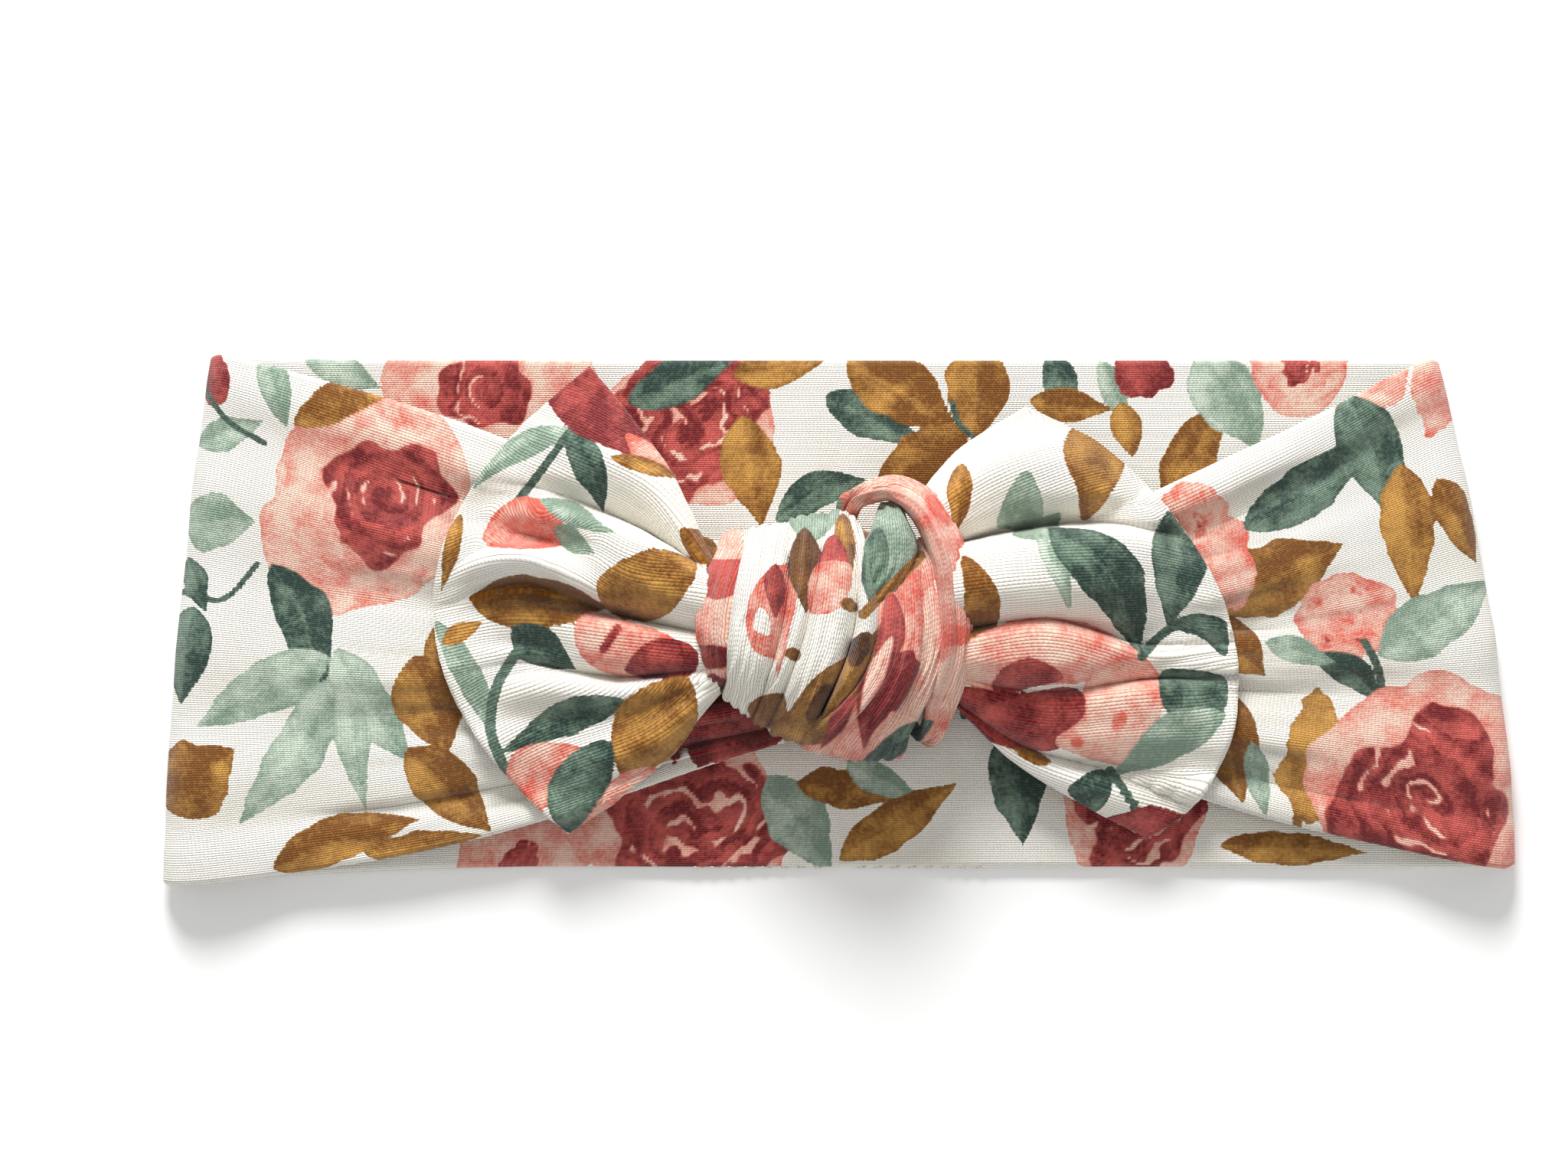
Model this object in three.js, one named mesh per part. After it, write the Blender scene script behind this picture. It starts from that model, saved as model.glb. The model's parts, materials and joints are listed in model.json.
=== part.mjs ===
// A knotted jersey headband for a baby, lying flat on its back.
//
// One long two-ply strip is closed into a loop by a knot at the middle of the front, and its
// two ends stand out of the knot as a bow. Every solid below is one stretch of one ply, one
// stretch of seam thread, or one turn of cloth in the knot. The strip is divided where it bends
// when the loop is opened for the head: beside the middle of the back, at the two side folds
// and beside the knot. The side folds lean, because the band lies wider along its lower edge.
//
// Millimetres. X runs along the strip to the wearer's left, Y across the strip, Z up from the
// surface that the headband lies on. The origin is below the middle of the whole outline.

import * as THREE from 'three';

// Cloth and thread.
const PLY = 0.8;
const PLY_GAP = 0.3;
const SEAM_RADIUS = 0.55;
const SEAM_CLEARANCE = 0.95;
const SEAM_ARC_STEPS = 4;
const END_GAP = 0.25;

// The loop. Every bend axis runs along Y.
const BEND_X = 20;
const FOLD_X = 92;
const BEND_CLEARANCE = 0.6;

// Heights of the undersides of the back and the front of the band.
const BACK_FLOOR = 0;
const FRONT_FLOOR = 3.1;

// Long edges of the band's stretches, as [x, y] places from left to right.
const BACK_CENTER = {
  upper: [[-BEND_X + END_GAP, 37.1], [0, 37.1], [BEND_X - END_GAP, 37.1]],
  lower: [[-BEND_X + END_GAP, -35.4], [0, -35.4], [BEND_X - END_GAP, -35.4]],
};
const BACK_LEFT = {
  upper: [[-87.6, 37.8], [-55, 37.2], [-BEND_X - END_GAP, 37.1]],
  lower: [[-94.4, -37.8], [-60, -35.7], [-BEND_X - END_GAP, -35.4]],
};
const BACK_RIGHT = {
  upper: [[BEND_X + END_GAP, 37.1], [55, 37.1], [83.5, 36.8]],
  lower: [[BEND_X + END_GAP, -35.4], [60, -35.2], [94.4, -33.5]],
};
const FRONT_LEFT = {
  upper: [[-87.6, 37.2], [-77.4, 35.4], [-48.3, 25.6], [-BEND_X - BEND_CLEARANCE, 12.6]],
  lower: [
    [-FOLD_X + BEND_CLEARANCE, -36.8], [-61.3, -32.4], [-41.3, -28.8], [-BEND_X - BEND_CLEARANCE, -21],
  ],
};
const FRONT_RIGHT = {
  upper: [[BEND_X + BEND_CLEARANCE, 6.6], [46.2, 16.7], [69.3, 31.6], [83.5, 36.4]],
  lower: [[BEND_X + BEND_CLEARANCE, -14], [50.4, -23.8], [73.2, -30.2], [FOLD_X - BEND_CLEARANCE, -32]],
};
const PANEL_ROWS = 2;
const CENTER_COLUMNS = 4;
const SIDE_COLUMNS = 8;
const FRONT_COLUMNS = 10;

// Fan-shaped ends of the strip, which make the bow. Edges start at the knot; bulge is how far
// the rim stands out beyond the straight line between its tips.
const LEFT_FAN = {
  upper: [[-23.6, 9], [-25.4, 20], [-29.5, 30], [-34.8, 35.6]],
  lower: [[-23.6, -9], [-26.4, -18], [-31.5, -24.6], [-38.3, -29.6]],
  bulge: -20,
};
const RIGHT_FAN = {
  upper: [[19.4, 9], [20.4, 18], [23, 26], [26.7, 30.2]],
  lower: [[19.4, -9.6], [24, -16], [32, -23.6], [43.2, -30.6]],
  bulge: 18.4,
};
const FAN_LENGTH = 34;
const FAN_PLEATS = 2.5;
const FAN_PLEAT_HEIGHT = 3.2;
const FAN_PLEAT_REACH = 0.95;
const FAN_ROOT_FLOOR = 9.3;
const FAN_RIM_FLOOR = 5.6;
const FAN_ROWS = 16;
const FAN_COLUMNS = 9;
const FAN_SEAM_SPACE = 2.4;
const FAN_SEAM_STEPS = 44;
const FAN_EDGE_STOPS = [0.1, 0.3, 0.5, 0.7, 0.88];
const FAN_RIM_STOPS = [0, 0.1, 0.2, 0.3, 0.4, 0.5, 0.6, 0.7, 0.8, 0.9, 1];

// The knot: turns of cloth arched over a gathered core. Each turn runs between two places along
// X, and its two edges have their own share of the knot's size, because the knot is a dome.
const KNOT_CENTRE_Y = -0.5;
const KNOT_AXIS_Z = 7;
const KNOT_OUTER_Y = 20.1;
const KNOT_OUTER_Z = 18.2;
const KNOT_SWEEP = THREE.MathUtils.degToRad(84);
const KNOT_STEPS = 18;
const TURN_THICKNESS = 5;
const TURN_SECTION = [
  [0, 0.25], [0, 0.75], [0.2, 1], [0.5, 1.06], [0.8, 1], [1, 0.75], [1, 0.25], [0.8, 0], [0.2, 0],
];
const KNOT_TURNS = {
  knot_left_wrap: { from: [-21.6, 0.7], to: [-10.2, 0.93] },
  knot_middle_wrap: { from: [-9.8, 0.95], to: [2, 1] },
  knot_right_wrap: { from: [2.4, 1], to: [8.4, 0.95] },
  knot_right_roll: { from: [8.8, 0.93], to: [17.6, 0.7] },
};

// The gathered strip inside the knot, as [x, lowest y, highest y, top] places from left to right.
const CORE_FLOOR = 3.3;
const CORE_SIDES = 14;
const KNOT_CORES = {
  knot_left_neck: [[-BEND_X + END_GAP, -9.6, 8.6, 9.4], [-14, -9.4, 8.4, 12], [-2.2, -10, 9, 16]],
  knot_right_neck: [
    [-1.8, -10, 9, 16], [11, -9.4, 8.4, 12], [16.6, -9, 7, 9.6], [BEND_X - END_GAP, -8, 6, 8.6],
  ],
};

const JERSEY_COLOUR = 0xe9ded0;
const TIE_COLOUR = 0xc98a78;
const THREAD_COLOUR = 0xefe9dc;

const model = new THREE.Group();

function jersey(colour) {
  return new THREE.MeshStandardMaterial({ color: colour, roughness: 0.92, metalness: 0 });
}

function addPart(name, geometry, colour) {
  const mesh = new THREE.Mesh(geometry, jersey(colour));
  mesh.name = name;
  model.add(mesh);
}

function solid(vertices, triangles) {
  const geometry = new THREE.BufferGeometry();
  geometry.setAttribute('position', new THREE.Float32BufferAttribute(vertices.flat(), 3));
  geometry.setIndex(triangles.flat());
  geometry.computeVertexNormals();
  return geometry;
}

function curve(points) {
  return new THREE.CatmullRomCurve3(points.map(([x, y]) => new THREE.Vector3(x, y, 0)));
}

// A sheet of cloth. surface(u, v) gives a point of its underside; seen from above, v runs
// anticlockwise from u.
function clothSheet(columns, rows, surface) {
  const vertices = [];
  for (let level = 0; level < 2; level += 1) {
    for (let row = 0; row <= rows; row += 1) {
      for (let column = 0; column <= columns; column += 1) {
        const [x, y, z] = surface(column / columns, row / rows);
        vertices.push([x, y, z + level * PLY]);
      }
    }
  }
  const width = columns + 1;
  const layer = width * (rows + 1);
  const at = (column, row, level) => level * layer + row * width + column;
  const triangles = [];
  const quad = (a, b, c, d) => triangles.push([a, b, c], [a, c, d]);
  for (let row = 0; row < rows; row += 1) {
    for (let column = 0; column < columns; column += 1) {
      quad(at(column, row, 1), at(column + 1, row, 1), at(column + 1, row + 1, 1), at(column, row + 1, 1));
      quad(at(column, row, 0), at(column, row + 1, 0), at(column + 1, row + 1, 0), at(column + 1, row, 0));
    }
  }
  for (let column = 0; column < columns; column += 1) {
    quad(at(column, 0, 0), at(column + 1, 0, 0), at(column + 1, 0, 1), at(column, 0, 1));
    quad(at(column, rows, 0), at(column, rows, 1), at(column + 1, rows, 1), at(column + 1, rows, 0));
  }
  for (let row = 0; row < rows; row += 1) {
    quad(at(0, row, 0), at(0, row, 1), at(0, row + 1, 1), at(0, row + 1, 0));
    quad(at(columns, row, 0), at(columns, row + 1, 0), at(columns, row + 1, 1), at(columns, row, 1));
  }
  return solid(vertices, triangles);
}

// A closed body through rings of points that all run the same way round.
function loft(rings) {
  const sides = rings[0].length;
  const vertices = rings.flat();
  const triangles = [];
  for (let ring = 0; ring + 1 < rings.length; ring += 1) {
    for (let side = 0; side < sides; side += 1) {
      const next = (side + 1) % sides;
      const a = ring * sides + side;
      const b = ring * sides + next;
      triangles.push([a, b, b + sides], [a, b + sides, a + sides]);
    }
  }
  const last = (rings.length - 1) * sides;
  for (let side = 1; side + 1 < sides; side += 1) {
    triangles.push([0, side + 1, side], [last, last + side, last + side + 1]);
  }
  return solid(vertices, triangles);
}

// A seam runs just inside an edge of the cloth, halfway up the two plies.
function seamThread(points, steps) {
  const section = new THREE.Shape();
  section.absarc(0, 0, SEAM_RADIUS, 0, 2 * Math.PI);
  const path = new THREE.CatmullRomCurve3(points);
  const settings = { steps, curveSegments: SEAM_ARC_STEPS, extrudePath: path, bevelEnabled: false };
  return new THREE.ExtrudeGeometry(section, settings);
}

function shifted(points, shift) {
  return points.map(([x, y]) => [x, y + shift]);
}

// One stretch of the band: an outer and an inner ply and a seam along each long edge.
function bandPanel(name, edges, floor, outerIsLower, columns, lowerSeamName = `${name}_bottom_seam`) {
  const inset = SEAM_RADIUS + SEAM_CLEARANCE;
  const upperEdge = curve(shifted(edges.upper, -inset));
  const lowerEdge = curve(shifted(edges.lower, inset));
  const plyFloors = [floor, floor + PLY + PLY_GAP];
  const plyNames = outerIsLower ? ['outer_ply', 'inner_ply'] : ['inner_ply', 'outer_ply'];
  plyNames.forEach((plyName, index) => {
    const surface = (u, v) => {
      const point = lowerEdge.getPoint(u).lerp(upperEdge.getPoint(u), v);
      return [point.x, point.y, plyFloors[index]];
    };
    addPart(`${name}_${plyName}`, clothSheet(columns, PANEL_ROWS, surface), JERSEY_COLOUR);
  });
  const seamHeight = floor + PLY + PLY_GAP / 2;
  const seams = [
    [`${name}_top_seam`, shifted(edges.upper, -SEAM_RADIUS)],
    [lowerSeamName, shifted(edges.lower, SEAM_RADIUS)],
  ];
  for (const [seamName, points] of seams) {
    const path = points.map(([x, y]) => new THREE.Vector3(x, y, seamHeight));
    addPart(seamName, seamThread(path, columns), THREAD_COLOUR);
  }
}

// The back lies flat, with the outer ply down. Its middle was left open to turn the strip right
// side out, and is closed by hand.
function backPanels() {
  bandPanel('back_center', BACK_CENTER, BACK_FLOOR, true, CENTER_COLUMNS, 'turning_gap_stitches');
  bandPanel('back_left', BACK_LEFT, BACK_FLOOR, true, SIDE_COLUMNS);
  bandPanel('back_right', BACK_RIGHT, BACK_FLOOR, true, SIDE_COLUMNS);
}

// The front narrows towards the knot, which gathers it.
function frontPanels() {
  bandPanel('front_left', FRONT_LEFT, FRONT_FLOOR, false, FRONT_COLUMNS);
  bandPanel('front_right', FRONT_RIGHT, FRONT_FLOOR, false, FRONT_COLUMNS);
}

// An end of the strip, gathered at the knot and fanned out in pleats.
function bowFan(name, { upper, lower, bulge }) {
  const upperEdge = curve(upper);
  const lowerEdge = curve(lower);
  const outwards = Math.sign(bulge);
  const fan = (u, v, lift) => {
    const point = lowerEdge.getPoint(u).lerp(upperEdge.getPoint(u), v);
    const fall = THREE.MathUtils.smoothstep(u, 0, 1);
    const swell = Math.sin(Math.PI * FAN_PLEAT_REACH * u);
    const pleat = 0.5 - 0.5 * Math.cos(2 * Math.PI * FAN_PLEATS * v);
    const floor = THREE.MathUtils.lerp(FAN_ROOT_FLOOR, FAN_RIM_FLOOR, fall);
    const reach = bulge * u * u * 4 * v * (1 - v);
    return [point.x + reach, point.y, floor + FAN_PLEAT_HEIGHT * swell * pleat + lift];
  };
  const ply = (lift) => (column, row) => {
    const u = (outwards > 0 ? column : 1 - column) * (1 - FAN_SEAM_SPACE / FAN_LENGTH);
    const spread = lowerEdge.getPoint(u).distanceTo(upperEdge.getPoint(u));
    const margin = FAN_SEAM_SPACE / spread;
    return fan(u, THREE.MathUtils.lerp(margin, 1 - margin, row), lift);
  };
  addPart(`${name}_back_ply`, clothSheet(FAN_COLUMNS, FAN_ROWS, ply(0)), TIE_COLOUR);
  addPart(`${name}_front_ply`, clothSheet(FAN_COLUMNS, FAN_ROWS, ply(PLY + PLY_GAP)), TIE_COLOUR);
  const stops = [
    ...FAN_EDGE_STOPS.map((u) => [u, 0]),
    ...FAN_RIM_STOPS.map((v) => [1, v]),
    ...[...FAN_EDGE_STOPS].reverse().map((u) => [u, 1]),
  ];
  const path = stops.map(([u, v]) => new THREE.Vector3(...fan(u, v, PLY + PLY_GAP / 2)));
  addPart(`${name}_rim_seam`, seamThread(path, FAN_SEAM_STEPS), THREAD_COLOUR);
}

// One turn of cloth over the knot, swept round the knot's axis.
function knotTurn(name, { from, to }) {
  const [fromX, fromScale] = from;
  const [toX, toScale] = to;
  const rings = [];
  for (let step = 0; step <= KNOT_STEPS; step += 1) {
    const angle = THREE.MathUtils.lerp(-KNOT_SWEEP, KNOT_SWEEP, step / KNOT_STEPS);
    const ring = TURN_SECTION.map(([along, out]) => {
      const scale = THREE.MathUtils.lerp(fromScale, toScale, along);
      const inward = TURN_THICKNESS * (1 - out);
      const y = KNOT_CENTRE_Y + (KNOT_OUTER_Y * scale - inward) * Math.sin(angle);
      const z = KNOT_AXIS_Z + (KNOT_OUTER_Z * scale - inward) * Math.cos(angle);
      return [THREE.MathUtils.lerp(fromX, toX, along), y, z];
    });
    rings.push(ring);
  }
  addPart(name, loft(rings), TIE_COLOUR);
}

// The gathered stretch of the strip that goes through the knot, from one neck to its middle.
function knotCore(name, stations) {
  const rings = stations.map(([x, lowY, highY, topZ]) => {
    const ring = [];
    for (let side = 0; side < CORE_SIDES; side += 1) {
      const angle = 2 * Math.PI * side / CORE_SIDES;
      const y = (lowY + highY) / 2 + (highY - lowY) / 2 * Math.cos(angle);
      const z = (CORE_FLOOR + topZ) / 2 + (topZ - CORE_FLOOR) / 2 * Math.sin(angle);
      ring.push([x, y, z]);
    }
    return ring;
  });
  addPart(name, loft(rings), TIE_COLOUR);
}

function knot() {
  Object.entries(KNOT_CORES).forEach(([name, stations]) => knotCore(name, stations));
  Object.entries(KNOT_TURNS).forEach(([name, turn]) => knotTurn(name, turn));
}

backPanels();
frontPanels();
bowFan('wing_left', LEFT_FAN);
bowFan('wing_right', RIGHT_FAN);
knot();

export default model;
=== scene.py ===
"""The looks of a knotted jersey headband: printed cloth, pleats, rolls and seams round the CAD frame.

The band, the bow ends and the knot are skinned over fold lines: listed curves that run along
the crests and the valleys of the cloth. Each sheet has two plies, rounded where they turn at the
seam. The print is painted as dye masks on the mesh, and the material turns the masks into
watercolour dyes on knitted cotton.

Places are written in millimetres in the CAD's frame and turned into metres when a mesh is made.
"""

import json
import math

import bpy
import numpy as np
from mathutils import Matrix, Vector


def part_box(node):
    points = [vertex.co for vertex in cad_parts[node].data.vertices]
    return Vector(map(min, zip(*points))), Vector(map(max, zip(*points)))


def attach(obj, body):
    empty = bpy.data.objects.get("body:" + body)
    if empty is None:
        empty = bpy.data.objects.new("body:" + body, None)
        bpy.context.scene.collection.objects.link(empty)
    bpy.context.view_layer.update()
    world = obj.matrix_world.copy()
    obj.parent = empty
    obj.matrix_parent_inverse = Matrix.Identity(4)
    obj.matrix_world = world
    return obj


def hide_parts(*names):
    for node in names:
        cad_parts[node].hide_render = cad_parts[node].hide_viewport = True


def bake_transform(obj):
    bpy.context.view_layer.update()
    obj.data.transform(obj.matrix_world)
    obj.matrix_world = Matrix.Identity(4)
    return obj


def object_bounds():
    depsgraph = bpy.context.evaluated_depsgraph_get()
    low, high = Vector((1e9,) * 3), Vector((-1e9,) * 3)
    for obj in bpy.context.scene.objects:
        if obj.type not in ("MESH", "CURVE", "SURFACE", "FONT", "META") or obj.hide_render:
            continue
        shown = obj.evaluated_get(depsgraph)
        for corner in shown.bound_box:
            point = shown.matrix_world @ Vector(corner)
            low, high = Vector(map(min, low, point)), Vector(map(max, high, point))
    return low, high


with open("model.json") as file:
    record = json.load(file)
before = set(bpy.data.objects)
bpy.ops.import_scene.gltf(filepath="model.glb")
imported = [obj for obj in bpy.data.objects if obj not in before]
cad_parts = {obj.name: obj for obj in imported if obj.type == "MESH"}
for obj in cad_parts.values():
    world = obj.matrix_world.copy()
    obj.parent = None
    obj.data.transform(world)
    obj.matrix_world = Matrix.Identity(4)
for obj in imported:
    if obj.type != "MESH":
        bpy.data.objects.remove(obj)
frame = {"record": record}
CAD_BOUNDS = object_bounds()

MM = 0.001
SEED = 7

# Cloth.
PLY = 0.62
PLY_GAP = 0.06
TURN_RADIUS = 0.8
WALE_PITCH = 0.64
COURSE_PITCH = 0.52
GRID_STEP = 0.42

# The loop, from the frame's joints.
JOINTS = {joint["name"]: joint for joint in frame["record"]["behaviour"]["joints"]}
FOLD_X = JOINTS["right_fold"]["pos_m"][0] / MM
FOLD_Z = JOINTS["right_fold"]["pos_m"][2] / MM
BACK_TOP = 36.9
BACK_BOTTOM = -35.0
BACK_HEIGHT = 0.95
SPLIT_X = 45.0
SOW_SPACING = 18.0
VALLEY_SLACK_ROWS = 9

# The camera looks straight down, as a photographer does at a flat lay.
VIEW_CENTRE = (-7.85, 4.58)
VIEW_WIDTH = 223.2
LENS = 100.0
SENSOR = 36.0


# ---------------------------------------------------------------- curves and noise

def spline(points, where):
    """A smooth curve through points along axis 0, read at positions from 0 to len(points) - 1.

    The slope at a point leans towards its shorter side, so a short span after a long one doesn't loop.
    """
    points = np.asarray(points, float)
    where = np.clip(np.asarray(where, float), 0, len(points) - 1)
    chords = np.diff(points, axis=0)
    spans = np.maximum(np.linalg.norm(chords, axis=-1, keepdims=True), 1e-6)
    slopes = chords / spans
    inner = (slopes[:-1] * spans[1:] + slopes[1:] * spans[:-1]) / (spans[:-1] + spans[1:])
    slopes = np.concatenate([slopes[:1], inner, slopes[-1:]])
    index = np.minimum(where.astype(int), len(points) - 2)
    t = (where - index).reshape((-1,) + (1,) * (points.ndim - 1))
    start, end = points[index], points[index + 1]
    leave, arrive = slopes[index] * spans[index], slopes[index + 1] * spans[index]
    back = 1 - t
    return (start * (1 + 2 * t) * back ** 2 + leave * t * back ** 2
            + end * t ** 2 * (3 - 2 * t) - arrive * t ** 2 * back)


def even_positions(points, step):
    """Positions along a spline that lie about one step apart."""
    fine = np.linspace(0, len(points) - 1, 60 * len(points))
    path = spline(points, fine)
    length = np.concatenate([[0], np.cumsum(np.linalg.norm(np.diff(path, axis=0), axis=-1))])
    count = max(2, int(round(length[-1] / step)))
    return np.interp(np.linspace(0, length[-1], count + 1), length, fine)


def noise(x, y, size, seed):
    """Smooth value noise from 0 to 1 with cells of the given size."""
    u = x / size
    v = y / size
    iu = np.floor(u).astype(np.int64)
    iv = np.floor(v).astype(np.int64)
    fu = u - iu
    fv = v - iv
    fu = fu * fu * (3 - 2 * fu)
    fv = fv * fv * (3 - 2 * fv)

    def corner(du, dv):
        key = (iu + du) * 374761393 + (iv + dv) * 668265263 + seed * 974711
        key = (key ^ (key >> 13)) * 1274126177
        return ((key ^ (key >> 16)) & 0xFFFF) / 65535.0

    low = corner(0, 0) * (1 - fu) + corner(1, 0) * fu
    high = corner(0, 1) * (1 - fu) + corner(1, 1) * fu
    return low * (1 - fv) + high * fv


def rough_noise(x, y, size, seed):
    """Three octaves of noise, from 0 to 1."""
    return (0.55 * noise(x, y, size, seed)
            + 0.3 * noise(x, y, size / 2.1, seed + 1)
            + 0.15 * noise(x, y, size / 4.3, seed + 2))


def step_up(value, low, high):
    t = np.clip((value - low) / (high - low), 0, 1)
    return t * t * (3 - 2 * t)


# ---------------------------------------------------------------- cloth surfaces

class Cloth:
    """The middle surface of a sheet: points, knit coordinates and the distance to its sewn edges."""

    def __init__(self, points, kinds, sewn_end):
        self.points = points
        self.normals = surface_normals(points)
        self.along = path_lengths(points, 1)
        self.across = self.lobe_coordinate(kinds)
        self.edge = self.edge_distance(sewn_end)

    def lobe_coordinate(self, kinds):
        """Knit coordinate across the wales: true to size in each lobe, with the slack in the valleys.

        Without lobes, the cloth is drawn together evenly.
        """
        lengths = path_lengths(self.points, 0)
        widest = int(np.argmax(lengths[-1]))
        reference = lengths[:, widest]
        if not kinds:
            return np.repeat(reference[:, None], lengths.shape[1], axis=1)
        rows = np.arange(len(lengths))
        across = np.zeros_like(lengths)
        for start, middle, end in lobes(kinds, len(lengths)):
            part = (rows >= start) & (rows <= end)
            across[part] = reference[middle] + lengths[part] - lengths[middle]
        return smooth_rows(across, VALLEY_SLACK_ROWS)

    def edge_distance(self, sewn_end):
        down = path_lengths(self.points, 0)
        distance = np.minimum(down, down[-1:] - down)
        if sewn_end:
            out = path_lengths(self.points, 1)
            distance = np.minimum(distance, out[:, -1:] - out)
        return distance


def smooth_rows(values, count):
    """Running mean over rows that keeps straight runs straight."""
    for _ in range(count):
        values = np.concatenate([values[:1], (values[:-2] + values[1:-1] + values[2:]) / 3, values[-1:]])
    return values


def path_lengths(points, axis):
    steps = np.linalg.norm(np.diff(points, axis=axis), axis=-1)
    zero = np.zeros_like(np.take(steps, [0], axis=axis))
    return np.cumsum(np.concatenate([zero, steps], axis=axis), axis=axis)


def surface_normals(points):
    down = np.gradient(points, axis=0)
    out = np.gradient(points, axis=1)
    normals = np.cross(down, out)
    length = np.linalg.norm(normals, axis=-1, keepdims=True)
    return normals / np.maximum(length, 1e-9)


def lobes(kinds, row_count):
    """(first row, crest row, last row) of each lobe, from the rows and kinds of the fold lines."""
    valleys = [row for row, kind in kinds if kind == "valley"]
    crests = [row for row, kind in kinds if kind == "crest"]
    bounds = [0] + valleys + [row_count - 1]
    result = []
    for start, end in zip(bounds, bounds[1:]):
        inside = [row for row in crests if start <= row <= end]
        middle = inside[0] if inside else (start + end) // 2
        result.append((start, middle, end))
    return result


def skin(rails, step, flip=False):
    """Points of a surface over fold lines, and the row of each line. Rows run across the lines."""
    lines = np.array([points for _, points in rails], float)
    columns = even_positions(lines.mean(axis=0), step)
    lines = spline(np.swapaxes(lines, 0, 1), columns)
    lines = np.swapaxes(lines, 0, 1)
    widest = int(np.argmax(np.linalg.norm(np.diff(lines, axis=0), axis=-1).sum(axis=0)))
    rows = even_positions(lines[:, widest], step)
    points = spline(lines, rows)
    kinds = [(int(np.argmin(np.abs(rows - index))), kind) for index, (kind, _) in enumerate(rails)]
    if flip:
        points = points[::-1]
        last = len(points) - 1
        kinds = [(last - row, kind) for row, kind in kinds][::-1]
    return points, kinds


def crumple(points, size, height, seed):
    """Small soft wrinkles along the surface's own normals."""
    normals = surface_normals(points)
    wave = rough_noise(points[..., 0], points[..., 1], size, seed) - 0.5
    return points + normals * (wave * 2 * height)[..., None]


def pinch(points, kinds, depth, width, outer=0.3):
    """Draw the cloth down along its valleys, most of all in the first columns."""
    down = path_lengths(points, 0)
    fade = np.linspace(1, outer, points.shape[1])
    drop = np.zeros(down.shape)
    for row, kind in kinds:
        if kind == "valley":
            drop = np.maximum(drop, np.exp(-((down - down[row]) / width) ** 2))
    points[..., 2] -= depth * drop * fade


def gathers(points, height, pitch, stretch, seed):
    """Long wrinkles that run along the sheet and draw together with it."""
    down = path_lengths(points, 0)
    across = np.repeat(down[:, [int(np.argmax(down[-1]))]], points.shape[1], axis=1)
    along = path_lengths(points, 1)
    wave = noise(along / stretch, across, pitch, seed)
    wave = wave + 0.5 * noise(along / stretch, across, pitch / 2, seed + 1)
    return points + surface_normals(points) * ((wave - 0.75) * 2 * height)[..., None]


# ---------------------------------------------------------------- meshes

def grid_mesh(name, upper, lower, cloth, normals=None):
    """A closed mesh between two grids of points, with a knit UV map in millimetres.

    normals are those of the two grids, so that pieces cut from one sheet shade as one.
    """
    rows, columns = upper.shape[:2]
    count = rows * columns
    vertices = np.concatenate([upper.reshape(-1, 3), lower.reshape(-1, 3)]) * MM
    index = np.arange(count).reshape(rows, columns)
    a, b = index[:-1, :-1], index[:-1, 1:]
    c, d = index[1:, 1:], index[1:, :-1]
    top = np.stack([a, d, c, b], axis=-1).reshape(-1, 4)
    bottom = np.stack([a, b, c, d], axis=-1).reshape(-1, 4) + count
    walls = []
    for line in (index[0], index[:, -1], index[-1][::-1], index[:, 0][::-1]):
        walls.append(np.stack([line[:-1], line[1:], line[1:] + count, line[:-1] + count], axis=-1))
    walls = np.concatenate(walls)
    faces = np.concatenate([top, bottom, walls])
    mesh = bpy.data.meshes.new(name)
    mesh.vertices.add(len(vertices))
    mesh.vertices.foreach_set("co", vertices.ravel())
    mesh.loops.add(faces.size)
    mesh.loops.foreach_set("vertex_index", faces.ravel().astype(np.int32))
    mesh.polygons.add(len(faces))
    mesh.polygons.foreach_set("loop_start", np.arange(0, faces.size, 4, dtype=np.int32))
    mesh.update(calc_edges=True)
    smooth = np.ones(len(faces), bool)
    smooth[len(top) + len(bottom):] = False
    mesh.polygons.foreach_set("use_smooth", smooth)
    along = np.tile(cloth.along.ravel(), 2)
    across = np.tile(cloth.across.ravel(), 2)
    uv = np.stack([along, across], axis=-1)[faces.ravel()]
    layer = mesh.uv_layers.new(name="Knit")
    layer.data.foreach_set("uv", uv.astype(np.float32).ravel())
    mesh.validate()
    if normals is not None:
        vertex_normals = np.concatenate([normals[0].reshape(-1, 3), -normals[1].reshape(-1, 3)])
        corner_normals = vertex_normals[faces.ravel()]
        corner_normals[(len(top) + len(bottom)) * 4:] = 0
        mesh.normals_split_custom_set(corner_normals.tolist())
    piece = bpy.data.objects.new(name, mesh)
    bpy.context.scene.collection.objects.link(piece)
    return piece


def ply_piece(name, cloth, side, columns=None):
    """One ply of a sheet: side 1 lies above the middle surface and -1 below it."""
    part = slice(None) if columns is None else slice(*columns)
    turn = np.clip(cloth.edge / TURN_RADIUS, 0, 1)
    swell = np.sqrt(np.clip(1 - (1 - turn) ** 2, 0, 1))
    outside = PLY_GAP / 2 + PLY * (0.14 + 0.86 * swell)
    inside = np.full_like(outside, PLY_GAP / 2)
    far = cloth.points + cloth.normals * (side * outside)[..., None]
    near = cloth.points + cloth.normals * (side * inside)[..., None]
    upper, lower = (far, near) if side > 0 else (near, far)
    view = ClothPart(cloth.along[:, part], cloth.across[:, part])
    normals = (surface_normals(upper)[:, part], surface_normals(lower)[:, part])
    return grid_mesh(name, upper[:, part], lower[:, part], view, normals)


class ClothPart:
    """The knit coordinates of some columns of a sheet."""

    def __init__(self, along, across):
        self.along = along
        self.across = across


# ---------------------------------------------------------------- the print

DYES = ("burgundy", "salmon", "ochre", "green", "sage", "brown")


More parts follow.
